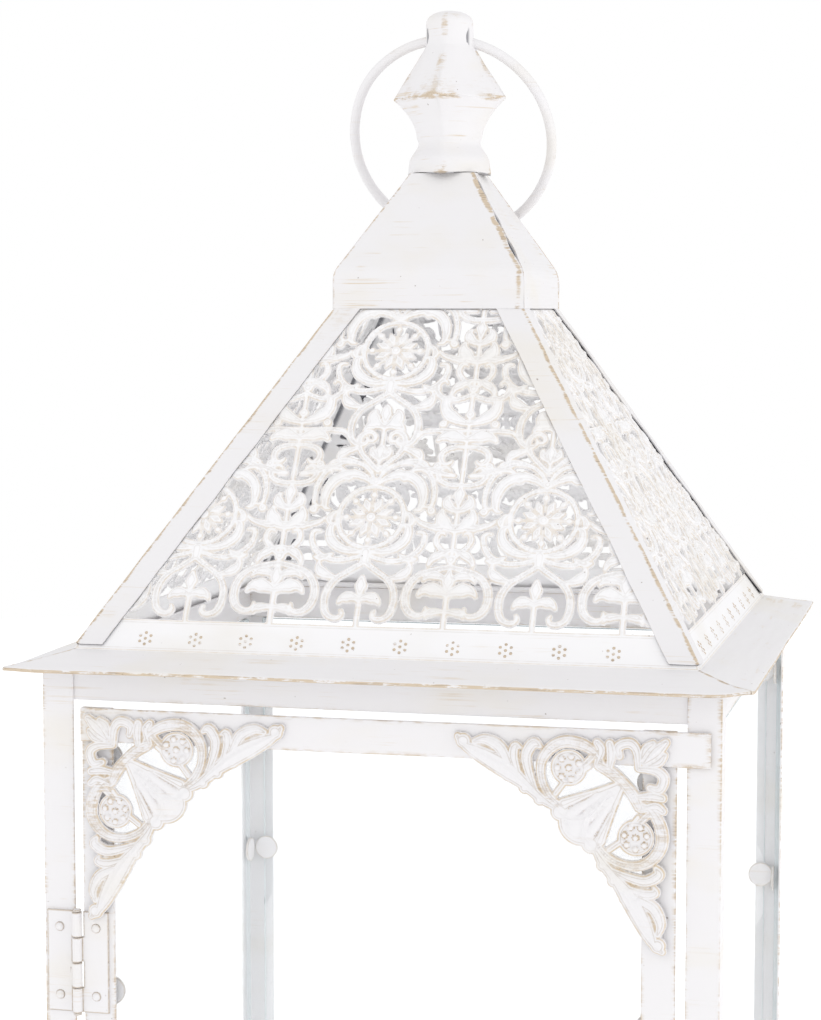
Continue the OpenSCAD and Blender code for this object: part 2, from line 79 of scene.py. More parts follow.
def widest_at_top(node):
    """Greatest distance in front of the centre plane at a node's upper edge."""
    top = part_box(node)[1].z
    return max(-v.co.y for v in frame["nodes"][node].data.vertices if v.co.z > top - 1e-5)


SHEET, THIN_SHEET = 1.0 * MM, 0.8 * MM
panel_lo, panel_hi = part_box("roof_panel_front")
FOOT_HALF = panel_hi.x
FOOT_Z = panel_lo.z
ROOF_PITCH = math.atan2(panel_hi.z - FOOT_Z, FOOT_HALF - widest_at_top("roof_panel_front"))
COS_P, SIN_P = math.cos(ROOF_PITCH), math.sin(ROOF_PITCH)
PANEL_LENGTH = (panel_hi.z - FOOT_Z) / SIN_P

cap_lo, cap_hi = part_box("roof_cap")
CAP_HALF = cap_hi.x
CAP_BOTTOM, CAP_TOP = cap_lo.z, cap_hi.z
CAP_SKIRT = 14 * MM
CAP_SHELL_DEPTHS = (0.95 * MM, 1.25 * MM)
CAP_TOP_HALF = 13 * MM

ring_lo, ring_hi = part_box("ring_handle")
RING_CENTRE = (ring_lo + ring_hi) / 2
RING_WIRE = 2.0 * MM
RING_RADIUS = (ring_hi.x - ring_lo.x) / 2 - RING_WIRE
RING_HOLE = Vector(joint("ring_swing")["pos_m"])
HOLE_AXIS = Vector(joint("ring_swing")["axis"]).normalized()
HOLE_RADIUS = 4.45 * MM

finial_lo, finial_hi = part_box("finial")
FINIAL_HEIGHT = finial_hi.z - finial_lo.z

# ------------------------------------------------------------ node materials

WHITE = (0.772, 0.757, 0.763, 1)
# This paler copy of WHITE is painted light: it brightens the pierced roof sheets and the back
# posts, which get less light than the rest of the same white paint.
PAINTED_LIGHT_WHITE = (0.855, 0.845, 0.85, 1)
CREAM = (0.755, 0.715, 0.645, 1)
GOLD = (0.53, 0.39, 0.22, 1)
TAN = (0.64, 0.53, 0.39, 1)
UMBER = (0.20, 0.14, 0.10, 1)
VEIN = (0.50, 0.44, 0.38, 1)
SHADE = (0.14, 0.14, 0.16, 1)


class Graph:
    """Short calls for building one node material."""

    def __init__(self, name):
        self.material = bpy.data.materials.new(name)
        self.material.use_nodes = True
        self.tree = self.material.node_tree
        self.tree.nodes.clear()
        self.position = self.add("ShaderNodeTexCoord").outputs["Object"]

    def add(self, kind, inputs=(), **settings):
        node = self.tree.nodes.new(kind)
        for key, value in settings.items():
            setattr(node, key, value)
        for key, value in dict(inputs).items():
            self.plug(node.inputs[key], value)
        return node

    def plug(self, socket, value):
        if isinstance(value, bpy.types.NodeSocket):
            self.tree.links.new(value, socket)
        else:
            socket.default_value = value

    def scaled(self, scale):
        node = self.add("ShaderNodeMapping", {"Vector": self.position, "Scale": scale})
        return node.outputs["Vector"]

    def noise(self, scale, detail=3.0, rough=0.55):
        node = self.add("ShaderNodeTexNoise", {
            "Vector": self.scaled(scale), "Scale": 1.0,
            "Detail": detail, "Roughness": rough})
        return node.outputs["Fac"]

    def math(self, operation, a, b):
        return self.add("ShaderNodeMath", {0: a, 1: b}, operation=operation).outputs[0]

    def times(self, product, *factors):
        for factor in factors:
            product = self.math("MULTIPLY", product, factor)
        return product

    def step(self, value, low, high, to_low=0.0, to_high=1.0):
        """Smooth change from to_low to to_high as value goes from low to high."""
        node = self.add("ShaderNodeMapRange", {
            "Value": value, "From Min": low, "From Max": high,
            "To Min": to_low, "To Max": to_high}, interpolation_type="SMOOTHSTEP")
        return node.outputs["Result"]

    def mix(self, factor, a, b):
        node = self.add("ShaderNodeMix", data_type="RGBA")
        self.plug(node.inputs["Factor"], factor)
        self.plug(node.inputs[6], a)
        self.plug(node.inputs[7], b)
        return node.outputs[2]

    def attribute(self, name):
        return self.add("ShaderNodeAttribute", attribute_name=name).outputs["Fac"]

    def bump(self, height, strength, distance, normal=None):
        inputs = {"Height": height, "Strength": strength, "Distance": distance}
        if normal is not None:
            inputs["Normal"] = normal
        return self.add("ShaderNodeBump", inputs).outputs["Normal"]

    def surface(self, **inputs):
        shader = self.add("ShaderNodeBsdfPrincipled")
        for key, value in inputs.items():
            self.plug(shader.inputs[key.replace("_", " ")], value)
        out = self.add("ShaderNodeOutputMaterial")
        self.tree.links.new(shader.outputs[0], out.inputs["Surface"])
        return self.material


def worn_paint(name, from_shape=False, rub_gain=1.0, cream=1.0, streaks=1.0, outlined=0.0,
               white=WHITE):
    """Old white paint: cream patches, brush streaks, and gold-brown rub on edges.

    from_shape finds the edges by the shape; otherwise the mesh says where it is
    rubbed and where painted shade darkens it in gaps, seams and hollows. outlined
    draws the rubbed line just inside each edge of pressed sheet, where rim holds the
    distance from the edge in mm.
    """
    g = Graph(name)
    streak = g.noise((22, 22, 1150), 4, 0.6)
    fringe = g.noise((150, 150, 1500), 3, 0.6)
    patch = g.noise((16, 16, 34))
    cloud = g.noise((42, 42, 60), 3, 0.6)
    grain = g.noise((1700, 1700, 1700), 3, 0.6)
    blotch = g.noise((190, 190, 300), 4, 0.65)
    scratch = g.noise((90, 90, 2700), 3, 0.6)
    chip = g.noise((520, 520, 520), 1, 0.5)
    colour = g.mix(g.times(g.step(patch, 0.48, 0.72), 0.55 * cream), white, CREAM)
    line = g.times(g.step(streak, 0.56, 0.68), g.step(cloud, 0.50, 0.66), 0.45 * streaks)
    colour = g.mix(line, colour, TAN)
    normal = None
    if from_shape:
        normal = g.add("ShaderNodeBevel", {"Radius": 1.0 * MM}, samples=6).outputs[0]
        true = g.add("ShaderNodeNewGeometry").outputs["True Normal"]
        dot = g.add("ShaderNodeVectorMath", {0: normal, 1: true}, operation="DOT_PRODUCT")
        rub = g.step(dot.outputs["Value"], 0.9985, 0.90)
    else:
        rub = g.attribute("rub")
    uneven = g.math("ADD", g.times(blotch, 0.55), g.times(fringe, 0.45))
    rub = g.times(rub, g.step(uneven, 0.38, 0.60, 0.16, 1.25), rub_gain)
    worn = g.step(rub, 0.16, 0.90)
    colour = g.mix(g.times(worn, 0.72), colour, GOLD)
    colour = g.mix(g.times(worn, g.step(scratch, 0.53, 0.62), 0.42), colour, UMBER)
    if outlined:
        rim = g.attribute("rim")
        shown = g.step(blotch, 0.32, 0.62, 0.25, 1.0)
        inside = g.times(g.step(rim, 0.08, 0.30), g.step(rim, 0.82, 0.42))
        inside = g.times(inside, g.times(shown, outlined))
        colour = g.mix(inside, colour, TAN)
        vein = g.times(g.step(rim, 1.02, 1.25), g.step(rim, 1.62, 1.38))
        vein = g.times(vein, g.times(shown, 0.55 * outlined))
        colour = g.mix(vein, colour, VEIN)
        worn = g.math("MAXIMUM", worn, inside)
    colour = g.mix(g.times(worn, g.step(grain, 0.60, 0.70), 0.5), colour, UMBER)
    colour = g.mix(g.step(chip, 0.785, 0.82, 0.0, 0.6), colour, UMBER)
    if not from_shape:
        # Painted shade: SHADE grey where the mesh marks gaps, seams and hollows that light does
        # not reach.
        shade_amount = g.times(g.attribute("painted_shade"), g.step(blotch, 0.2, 0.5, 0.6, 1.0))
        colour = g.mix(shade_amount, colour, SHADE)
    height = g.math("ADD", g.times(streak, 0.6), g.times(cloud, 0.8))
    height = g.math("SUBTRACT", height, g.times(worn, 0.8))
    rough = g.step(streak, 0.3, 0.7, 0.42, 0.62)
    return g.surface(Base_Color=colour, Roughness=rough, IOR=1.45,
                     Normal=g.bump(height, 0.35, 0.14 * MM, normal))


def clear_glass():
    """Old window glass: almost unseen, with a faint wave."""
    g = Graph("clear_glass")
    wave = g.noise((9, 9, 5), 2)
    haze = g.noise((60, 60, 25), 3)
    tint = g.mix(g.step(haze, 0.4, 0.7), (0.94, 0.96, 0.98, 1), (0.96, 0.975, 0.99, 1))
    rough = g.step(haze, 0.3, 0.7, 0.03, 0.09)
    material = g.surface(Base_Color=tint, Roughness=rough, IOR=1.5, Alpha=0.15,
                         Normal=g.bump(wave, 0.2, 1 * MM))
    material.surface_render_method = "BLENDED"
    return material


def glass_edge():
    """The cut edge of a pane, grey and green-blue, with chips."""
    g = Graph("glass_edge")
    chip = g.noise((150, 150, 90), 4, 0.65)
    band = g.noise((30, 30, 8), 2)
    tone = g.mix(g.step(band, 0.35, 0.65), (0.58, 0.66, 0.68, 1), (0.72, 0.78, 0.79, 1))
    tone = g.mix(g.step(chip, 0.62, 0.72), tone, (0.20, 0.25, 0.27, 1))
    rough = g.step(chip, 0.3, 0.7, 0.15, 0.4)
    return g.surface(Base_Color=tone, Roughness=rough, IOR=1.5,
                     Normal=g.bump(chip, 0.5, 0.3 * MM))


def dull_steel():
    g = Graph("dull_steel")
    turned = g.noise((60, 60, 2600), 2)
    spot = g.noise((500, 500, 500), 4)
    tone = g.mix(g.step(spot, 0.45, 0.7), (0.52, 0.52, 0.53, 1), (0.30, 0.27, 0.24, 1))
    rough = g.step(spot, 0.3, 0.7, 0.32, 0.6)
    return g.surface(Base_Color=tone, Metallic=1.0, Roughness=rough,
                     Normal=g.bump(turned, 0.3, 0.05 * MM))


PAINT = worn_paint("worn_white_sheet")
# The back posts' paint uses the paler white: painted light for posts that stand in the lantern's
# shade.
PAINTED_LIGHT_BACK = worn_paint("worn_white_back_painted_light", white=PAINTED_LIGHT_WHITE)
CAP_PAINT = worn_paint("worn_white_cap", cream=1.3, streaks=1.8)
# The roof filigree takes the paler white: painted light that makes up for the shade of its relief
# and of the dim inside behind it.
FILIGREE = worn_paint("worn_white_filigree", rub_gain=0.36, cream=0.7, streaks=0.5,
                      outlined=0.5, white=PAINTED_LIGHT_WHITE)
ORNAMENT = worn_paint("worn_white_ornament", rub_gain=0.48, streaks=0.5, outlined=1.0)
CAST = worn_paint("worn_white_casting", rub_gain=0.92, cream=1.3, streaks=1.8)
WIRE = worn_paint("worn_white_wire", rub_gain=0.9, cream=0.8, streaks=0.4)
FITTINGS = worn_paint("worn_white_fittings", from_shape=True, rub_gain=2.2)
GLASS = clear_glass()
EDGE = glass_edge()
STEEL = dull_steel()

# ------------------------------------------------------------ mesh helpers


def add_object(name, data):
    made = bpy.data.objects.new(name, data)
    bpy.context.scene.collection.objects.link(made)
    return made


def set_point_values(mesh, key, values):
    """Stores one number for each vertex, for the paint to read."""
    layer = mesh.attributes.get(key) or mesh.attributes.new(key, "FLOAT", "POINT")
    if values is not None:
        layer.data.foreach_set("value", np.asarray(values, np.float32))


def add_piece(name, points, faces, materials, replaces=(),
              body="frame", rub=None, painted_shade=None, rim=None, face_material=None, crease=38):
    """One closed mesh, in place, on its body, standing for its frame nodes."""
    mesh = bpy.data.meshes.new(name)
    mesh.from_pydata(np.asarray(points, float).tolist(), [],
                     [list(map(int, f)) for f in faces])
    mesh.polygons.foreach_set("use_smooth", [True] * len(mesh.polygons))
    mesh.set_sharp_from_angle(angle=math.radians(crease))
    set_point_values(mesh, "rub", rub)
    set_point_values(mesh, "painted_shade", painted_shade)
    if rim is not None:
        set_point_values(mesh, "rim", rim)
    for material in materials:
        mesh.materials.append(material)
    if face_material is not None:
        mesh.polygons.foreach_set("material_index", np.asarray(face_material, np.int32))
    mesh.update()
    piece = add_object(name, mesh)
    if replaces:
        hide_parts(*replaces)
    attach(piece, body)
    return piece


def quarter_turn(points, k):
    """Points turned k quarter turns about the vertical axis: front to right and on."""
    p = np.array(points, float)
    for _ in range(k % 4):
        p = np.stack([-p[..., 1], p[..., 0], p[..., 2]], -1)
    return p


def ripple(points, scale, seed):
    """Smooth noise between -1 and 1 at each point, the same each run."""
    flat = np.asarray(points, float).reshape(-1, 3) / scale + seed * 7.31
    values = [noise.noise(Vector(p)) for p in flat]
    return np.array(values).reshape(np.asarray(points).shape[:-1])


def smooth(value, low, high):
    t = np.clip((np.asarray(value, float) - low) / (high - low), 0, 1)
    return t * t * (3 - 2 * t)


def bell(x, width):
    """One at x = 0, falling off smoothly over the width."""
    return np.exp(-((x / width) ** 2))


def shake(*at):
    """Smooth noise between -1 and 1 at three numbers, the same each run."""
    return noise.noise(Vector(at))


def unit_circle(count):
    return [(math.cos(2 * math.pi * k / count), math.sin(2 * math.pi * k / count))
            for k in range(count)]


def shifted(faces, by):
    return [[k + by for k in face] for face in faces]


def rounded_outline(points, radii, steps=4):
    """A closed outline with its corners rounded, and how rubbed each point is, 0.5 to 1."""
    pts = [np.array(p, float) for p in points]
    n = len(pts)
    out, worn = [], []
    for i in range(n):
        p, r = pts[i], radii[i] if hasattr(radii, "__len__") else radii
        a, b = pts[i - 1] - p, pts[(i + 1) % n] - p
        reach = min(r, 0.45 * np.linalg.norm(a), 0.45 * np.linalg.norm(b))
        a = p + a / np.linalg.norm(a) * reach
        b = p + b / np.linalg.norm(b) * reach
        for t in np.linspace(0, 1, steps):
            out.append((1 - t) ** 2 * a + 2 * t * (1 - t) * p + t * t * b)
            worn.append(1.0 - abs(2 * t - 1) * 0.5)
    return np.array(out), np.array(worn)


def split_long(outline, worn, longest):
    """Extra points on the long straight stretches of a closed outline."""
    out, wear = [], []
    for i, a in enumerate(outline):
        b = outline[(i + 1) % len(outline)]
        out.append(a)
        wear.append(worn[i])
        length = np.linalg.norm(b - a)
        count = int(length / longest)
        for k in range(1, count + 1):
            t = k / (count + 1)
            out.append(a + (b - a) * t)
            wear.append(0.6 * bell(length * min(t, 1 - t), 0.9 * MM))
    return np.array(out), np.array(wear)


def loop_faces(rings, size):
    """Faces of a closed skin over rings of points, one after the other, with both ends."""
    i, j = (a.ravel() for a in np.meshgrid(np.arange(rings - 1), np.arange(size), indexing="ij"))
    k = (j + 1) % size
    quads = np.stack([i * size + j, i * size + k, (i + 1) * size + k, (i + 1) * size + j], -1)
    return quads.tolist() + [list(range(size))[::-1],
                             [(rings - 1) * size + j for j in range(size)]]


def signed_area(outline):
    x, y = outline[:, 0], outline[:, 1]
    return 0.5 * np.sum(x * np.roll(y, -1) - np.roll(x, -1) * y)


# ------------------------------------------------------------ mitred strips

SIDES = ("front", "right", "back", "left")
STRIP_STATIONS = 110
MITRE_GAP = 0.2 * MM
EAVE_FALL, EAVE_WIDTH = math.radians(14), 24 * MM
HEM_WEAR = 2.6

def strip(name, side, outline, worn, node, bend, seed):
    """A folded strip along one side, mitred at both ends.

    outline holds (distance from the centre plane, height) round the section.
    """
    if signed_area(outline) > 0:
        outline, worn = outline[::-1], worn[::-1]
    r, z = outline.T
    s = np.sin(np.linspace(-0.5, 0.5, STRIP_STATIONS) * math.pi)
    s = np.sign(s) * (1 - (1 - np.abs(s)) ** 0.85)
    x = s[:, None] * (r - MITRE_GAP)
    pts = np.stack([x, np.broadcast_to(-r, x.shape), np.broadcast_to(z, x.shape)], -1)
    pts = bend(quarter_turn(pts, side))
    rub = worn * (0.9 + 0.5 * ripple(pts, 0.028, seed))
    ends = bell((1 - np.abs(s)) * r.max(), 1.2 * MM)
    rub = np.maximum(rub, ends[:, None] * 0.7)
    add_piece(name, pts.reshape(-1, 3), loop_faces(STRIP_STATIONS, len(r)), [PAINT], [node],
              rub=rub.ravel())


def eave_bend(points):
    """The strips are a little uneven, and their tips curl up, most at the front right."""
    p = points.copy()
    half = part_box("eave_strip_front")[1].x
    out = np.maximum(np.abs(p[..., 0]), np.abs(p[..., 1]))
    outer = smooth(out, half - 20 * MM, half)
    p[..., 2] += outer * 0.55 * MM * ripple(p, 0.06, 3)
    corner = np.hypot(half - np.abs(p[..., 0]), half - np.abs(p[..., 1]))
    lift = np.where((p[..., 0] > 0) & (p[..., 1] < 0), 1.7, 0.5) * MM
    p[..., 2] += lift * bell(corner, 8 * MM)
    return p


def base_bend(points):
    """The plinth's walls bulge a little above their foot."""
    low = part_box("base_strip_front")[0].z
    up = smooth(points[..., 2] - low, 1 * MM, 12 * MM)
    scale = 1 + 0.0022 * ripple(points, 0.08, 9) * up
    return points * np.stack([scale, scale, np.ones_like(scale)], -1)


def build_eave():
    """A sloping sheet on each side, its outer edge turned under as a hem."""
    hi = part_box("eave_strip_front")[1]
    half = hi.x
    fall = math.tan(EAVE_FALL)
    lip = half - EAVE_WIDTH

    def top(r):
        return hi.z - EAVE_WIDTH * fall + (half - r) * fall

    hem, turn = 3.2 * MM, 1.5 * MM
    points = [(lip, top(lip)), (half, top(half)), (half, top(half) - turn),
              (half - hem, top(half - hem) - turn), (half - hem, top(half - hem) - SHEET),
              (lip, top(lip) - SHEET)]
    outline, worn = rounded_outline(points, np.array([0.3, 0.8, 0.8, 0.2, 0.2, 0.3]) * MM, 5)
    hem_face = (outline[:, 0] > half - 1.1 * MM) & (outline[:, 1] < top(half) - 0.35 * MM)
    worn = np.where(hem_face, HEM_WEAR * worn, 0.12 * worn)
    outline, worn = split_long(outline, worn, 2.4 * MM)
    for side, word in enumerate(SIDES):
        strip(f"eave_{word}", side, outline, worn, f"eave_strip_{word}", eave_bend, side + 1)


def build_base():
    """The plinth: a flat flange below, a wall, a bevel and a ledge on each side."""
    lo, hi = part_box("base_strip_front")
    out, low, high = hi.x, lo.z, hi.z
    knee, inner, flange = out - 10 * MM, out - 25 * MM, out - 14 * MM
    wall_top = high - 5 * MM
    points = [(flange, low), (out, low), (out, wall_top), (knee, high), (inner, high),
              (inner, high - SHEET), (knee - SHEET / 3, high - SHEET),
              (out - SHEET, wall_top - SHEET / 3), (out - SHEET, low + SHEET),
              (flange, low + SHEET)]
    radii = np.array([0.3, 1.6, 1.4, 1.4, 0.3, 0.3, 0.8, 0.8, 0.8, 0.3]) * MM
    outline, worn = rounded_outline(points, radii, 5)
    inside = (outline[:, 0] < out - 0.9 * MM) & (outline[:, 1] < high - 0.6 * MM)
    worn = np.where(inside, 0.1 * worn, worn)
    outline, worn = split_long(outline, worn, 2.6 * MM)
    for side, word in enumerate(SIDES):
        strip(f"base_{word}", side, outline, worn, f"base_strip_{word}", base_bend, side + 11)


# ------------------------------------------------------------ straight bars

BAR_DENT = 0.12 * MM

def bar(name, node, outline, axis, seed, body="frame", radius=0.5 * MM, rubbed=1.0,
        corner_wear=None, paint=PAINT):
    """A straight bar with a rounded section. axis 0 runs along X, 1 along Y, 2 along Z."""
    start, end = (corner[axis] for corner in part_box(node))
    section, worn = rounded_outline(outline, radius, 4)
    if corner_wear is not None:
        worn = worn * np.repeat(corner_wear, 4)
    section, worn = split_long(section, worn, 2.4 * MM)
    if (signed_area(section) > 0) == (axis != 1):
        section, worn = section[::-1], worn[::-1]
    t = np.linspace(start, end, max(6, int((end - start) / (3 * MM))))
    t = np.concatenate([[start], [start + 0.3 * MM], t[1:-1], [end - 0.3 * MM], [end]])
    centre = (section.min(0) + section.max(0)) / 2
    pts = np.zeros((len(t), len(section), 3))
    pts[..., axis] = t[:, None]
    others = [a for a in range(3) if a != axis]
    shrink = np.ones(len(t))
    shrink[[0, -1]] -= 0.25 * MM / np.ptp(section, 0).max()
    pts[..., others] = centre + (section - centre) * shrink[:, None, None]
    wave = ripple(pts, 0.045, seed)
    for a in others:
        pts[..., a] += BAR_DENT * ripple(pts, 0.07, seed + a + 1)
    rub = worn * (0.85 + 0.7 * wave) * rubbed
    ends = 0.6 * bell(np.minimum(t - start, end - t), 1.0 * MM)
    rub = np.maximum(rub, ends[:, None])
    add_piece(name, pts.reshape(-1, 3), loop_faces(len(t), len(section)), [paint], [node],
              body=body, rub=rub.ravel())


def box_outline(node, axis):
    lo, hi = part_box(node)
    a, b = [k for k in range(3) if k != axis]
    return [(lo[a], lo[b]), (hi[a], lo[b]), (hi[a], hi[b]), (lo[a], hi[b])]


def build_bars():
    """Four folded corner posts, the top and bottom rails, and the door's own bars."""
    for i, (depth, side) in enumerate((d, s) for d in ("front", "back")
                                      for s in ("left", "right")):
        node = f"corner_post_{depth}_{side}"
        lo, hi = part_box(node)
        sx = -1 if side == "left" else 1
        sy = -1 if depth == "front" else 1
        ox, ix = (lo.x, hi.x) if sx < 0 else (hi.x, lo.x)
        oy, iy = (lo.y, hi.y) if sy < 0 else (hi.y, lo.y)
        outline = [(ox, oy), (ix, oy), (ix, oy - sy * SHEET),
                   (ox - sx * SHEET, oy - sy * SHEET), (ox - sx * SHEET, iy), (ox, iy)]
        # Back posts take the paler paint, painted light against the shade inside the lantern.
        bar(f"post_{depth}_{side}", node, outline, 2, 20 + i, radius=0.55 * MM,
            corner_wear=[1.0, 0.85, 0.5, 0.1, 0.5, 0.85],
            paint=PAINT if depth == "front" else PAINTED_LIGHT_BACK)
    for i, word in enumerate(SIDES):
        for j, level in enumerate(("top", "bottom")):
            node = f"{level}_rail_{word}"
            axis = 0 if word in ("front", "back") else 1
            bar(f"{level}_rail_sheet_{word}", node, box_outline(node, axis), axis,
                40 + 2 * i + j, radius=0.35 * MM, rubbed=0.8)
    for kind, end, axis, seed, rubbed in (("stile", "left", 2, 60, 0.9),
                                          ("stile", "right", 2, 61, 0.9),
                                          ("rail", "top", 0, 64, 0.95),
                                          ("rail", "bottom", 0, 65, 0.95)):
        node = f"door_{kind}_{end}"
        bar(f"door_{kind}_bar_{end}", node, box_outline(node, axis), axis, seed, body="door",
            rubbed=rubbed)


def build_floor_plate():
    """The floor under the candle: a thin square sheet, dished a little in the middle."""
    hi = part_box("floor_plate")[1]
    count = 48
    s = np.linspace(-1, 1, count)
    x, y = np.meshgrid(s * hi.x, s * hi.y, indexing="ij")
    away = np.maximum(np.abs(x), np.abs(y)) / hi.x
    dish = -0.5 * MM * (1 - smooth(away, 0.4, 0.86))
    top = np.stack([x, y, hi.z + dish], -1).reshape(-1, 3)
    rub = np.tile(smooth(away.ravel(), 0.84, 0.88) * 0.3, 2)
    add_piece("floor_sheet", np.concatenate([top, top - [0, 0, SHEET]]),
              grid_shell_faces(count, count), [PAINT], ["floor_plate"], rub=rub)


def grid_shell_faces(nu, nv):
    """Faces of a closed shell: a grid on top, the same grid below, and four walls."""
    i, j = np.meshgrid(np.arange(nu - 1), np.arange(nv - 1), indexing="ij")
    a = (i * nv + j).ravel()
    top = np.stack([a, a + nv, a + nv + 1, a + 1], -1)
    n = nu * nv
    rim = ([k for k in range(nv)] + [k * nv + nv - 1 for k in range(1, nu)]
           + [(nu - 1) * nv + k for k in range(nv - 2, -1, -1)]
           + [k * nv for k in range(nu - 2, 0, -1)])
    walls = [[p, q, q + n, p + n] for p, q in zip(rim, rim[1:] + rim[:1])]
    return top.tolist() + (top[:, ::-1] + n).tolist() + walls


# ------------------------------------------------------------ pierced and pressed sheet

class Relief:
    """A flat sheet with strokes pressed up on it and the ground between them cut out.

    Lengths here are millimetres in the sheet's own plane. metal is above zero where
    there is sheet, high is the height of the relief, rub is where it is worn.
    """

    def __init__(self, u_low, u_high, v_low, v_high, pitch):
        self.pitch = pitch
        self.u = np.arange(u_low, u_high + pitch / 2, pitch)
        self.v = np.arange(v_low, v_high + pitch / 2, pitch)
        shape = (len(self.u), len(self.v))
        self.metal = np.full(shape, -9.0)
        self.high = np.full(shape, -0.25)
        self.rub = np.zeros(shape)
        self.U, self.V = np.meshgrid(self.u, self.v, indexing="ij")

    def reached(self, line, low, high):
        """The part of a grid line from low to high, empty when all of it is off the sheet."""
        first = int((low - line[0]) / self.pitch)
        last = int((high - line[0]) / self.pitch) + 2
        return slice(max(first, 0), max(last, 0))

    def segment(self, a, b, wa, wb, style, along=0.0):
        """One straight stretch of a stroke from a to b with half-widths wa and wb."""
        wide = max(wa, wb) * 1.6 + 2 * self.pitch
        box = tuple(self.reached(line, min(p, q) - wide, max(p, q) + wide)
                    for line, p, q in ((self.u, a[0], b[0]), (self.v, a[1], b[1])))
        du, dv = b[0] - a[0], b[1] - a[1]
        length2 = du * du + dv * dv + 1e-12
        pu, pv = self.U[box] - a[0], self.V[box] - a[1]
        t = np.clip((pu * du + pv * dv) / length2, 0, 1)
        d = np.hypot(pu - t * du, pv - t * dv)
        w = wa + (wb - wa) * t
        r = d / w
        dome = np.clip(1 - r ** 2.6, 0, 1) ** 0.6 - 0.35 * np.clip(r - 1, 0, 1)
        tall = np.minimum(1.0, 0.55 + 0.2 * w)
        if style == "band":
            worn = bell(r - 0.66, 0.24)
            high = tall * (0.55 * dome + 0.62 * worn)
        elif style == "leaf":
            rib = 0.5 + 0.5 * np.cos(r * 3 * math.pi)
            vein = 0.5 + 0.5 * np.sin((along + t * math.sqrt(length2)) * 2.6 + r * 2.4)
            high = tall * dome * (0.98 + 0.30 * rib - 0.42 * vein * smooth(r, 0.1, 0.5))
            worn = bell(r - 0.8, 0.2) * 0.8
        elif style == "dot":
            high = tall * dome * 1.3
            worn = bell(r - 0.95, 0.3) * 2.2
        elif style == "rib":
            high = tall * dome
            worn = bell(r - 0.92, 0.16) * 1.5
        elif style == "ground":
            high = 0.18 - 0.2 * np.clip(r - 1, 0, 1)
            worn = 0 * r
        else:
            high = tall * dome
            worn = bell(r, 0.5) * 0.35
        won = high > self.high[box]
        self.high[box] = np.where(won, high, self.high[box])
        self.rub[box] = np.where(won, worn * (w > 0.7), self.rub[box])
        self.metal[box] = np.maximum(self.metal[box], w - d)

    def stroke(self, points, widths, style="band"):
        along = 0.0
        for i in range(len(points) - 1):
            self.segment(points[i], points[i + 1], widths[i], widths[i + 1], style, along)
            along += math.dist(points[i], points[i + 1])

    def disc(self, centre, radius):
        self.segment(centre, centre, radius, radius, "dome")

    def keep_joined(self, anchor):
        """Drops metal that hangs on nothing. anchor is True on sheet that is held."""
        solid = self.metal > 0
        held = anchor & solid
        while True:
            grown = held.copy()
            for there, here in ((grown, held), (grown.T, held.T)):
                there[1:] |= here[:-1]
                there[:-1] |= here[1:]
            grown &= solid
            if (grown == held).all():
                break
            held = grown
        self.metal = np.where(solid & ~held, -0.4, self.metal)

    def solid(self):
        """Rows of (u, v, height, rub, distance inside the edge), and the sheet's faces.

        The faces count the rows twice: once for the front, then again for the back.
        """
        nu, nv = self.metal.shape
        field = self.metal.ravel().copy()
        field[np.abs(field) < 0.012] = 0.012
        i, j = np.meshgrid(np.arange(nu - 1), np.arange(nv - 1), indexing="ij")
        a = (i * nv + j).ravel()
        b, c, d = a + nv, a + nv + 1, a + 1
        flip = ((i + j) % 2 == 0).ravel()
        halves = (((a, b, c), flip), ((a, c, d), flip), ((a, b, d), ~flip), ((b, c, d), ~flip))
        tri = np.concatenate([np.stack(corners, -1)[where] for corners, where in halves])
        inside = field[tri] > 0
        count = inside.sum(1)

        def rolled(rows, mark):
            """Each triangle turned so that its marked corner comes first."""
            first = mark.argmax(1)
            return np.stack([np.take_along_axis(rows, ((first + k) % 3)[:, None], 1)[:, 0]
                             for k in range(3)], -1)

        one = rolled(tri[count == 1], inside[count == 1])
        two = rolled(tri[count == 2], ~inside[count == 2])
        total = nu * nv

        def key(p, q):
            return np.minimum(p, q).astype(np.int64) * total + np.maximum(p, q)

        keys = np.concatenate([key(rows[:, 0], rows[:, k]) for rows in (one, two) for k in (1, 2)])
        unique, where = np.unique(keys, return_inverse=True)
        one_b, one_c, two_b, two_c = np.split(
            where + total, np.cumsum([len(one), len(one), len(two)]))
        faces = np.concatenate([
            tri[count == 3], np.stack([one[:, 0], one_b, one_c], -1),
            np.stack([two_b, two[:, 1], two[:, 2]], -1),
            np.stack([two_b, two[:, 2], two_c], -1)])
        rim = np.concatenate([np.stack([one_b, one_c], -1), np.stack([two_c, two_b], -1)])
        p, q = unique // total, unique % total
        t = field[p] / (field[p] - field[q])

        def blended(values):
            flat = values.ravel()
            return np.concatenate([flat, flat[p] + (flat[q] - flat[p]) * t])

        used, index = np.unique(np.concatenate([faces.ravel(), rim.ravel()]),
                                return_inverse=True)
        faces = index[:faces.size].reshape(faces.shape)
        rim = index[faces.size:].reshape(-1, 2)
        layers = (self.U, self.V, self.high, self.rub, self.metal)
        data = np.stack([blended(x)[used] for x in layers], -1)
        n = len(used)
        walls = np.stack([rim[:, 1], rim[:, 0], rim[:, 0] + n, rim[:, 1] + n], -1)
        return data, faces.tolist() + (faces[:, ::-1] + n).tolist() + walls.tolist()


def turtle(start, heading, first_width, moves):
    """A curved stroke: each move is (length, turn in degrees, half-width at its end)."""
    x, y = start
    angle = math.radians(heading)
    points, widths = [(x, y)], [first_width]
    width = first_width
    for length, turn, end_width in moves:
        steps = max(3, int(abs(turn) / 16) + 1, int(length / 1.8) + 1)
        bend = math.radians(turn) / steps / 2
        for k in range(steps):
            angle += bend
            x += length / steps * math.cos(angle)
            y += length / steps * math.sin(angle)
            angle += bend
            points.append((x, y))
            widths.append(width + (end_width - width) * (k + 1) / steps)
        width = end_width
    return points, widths


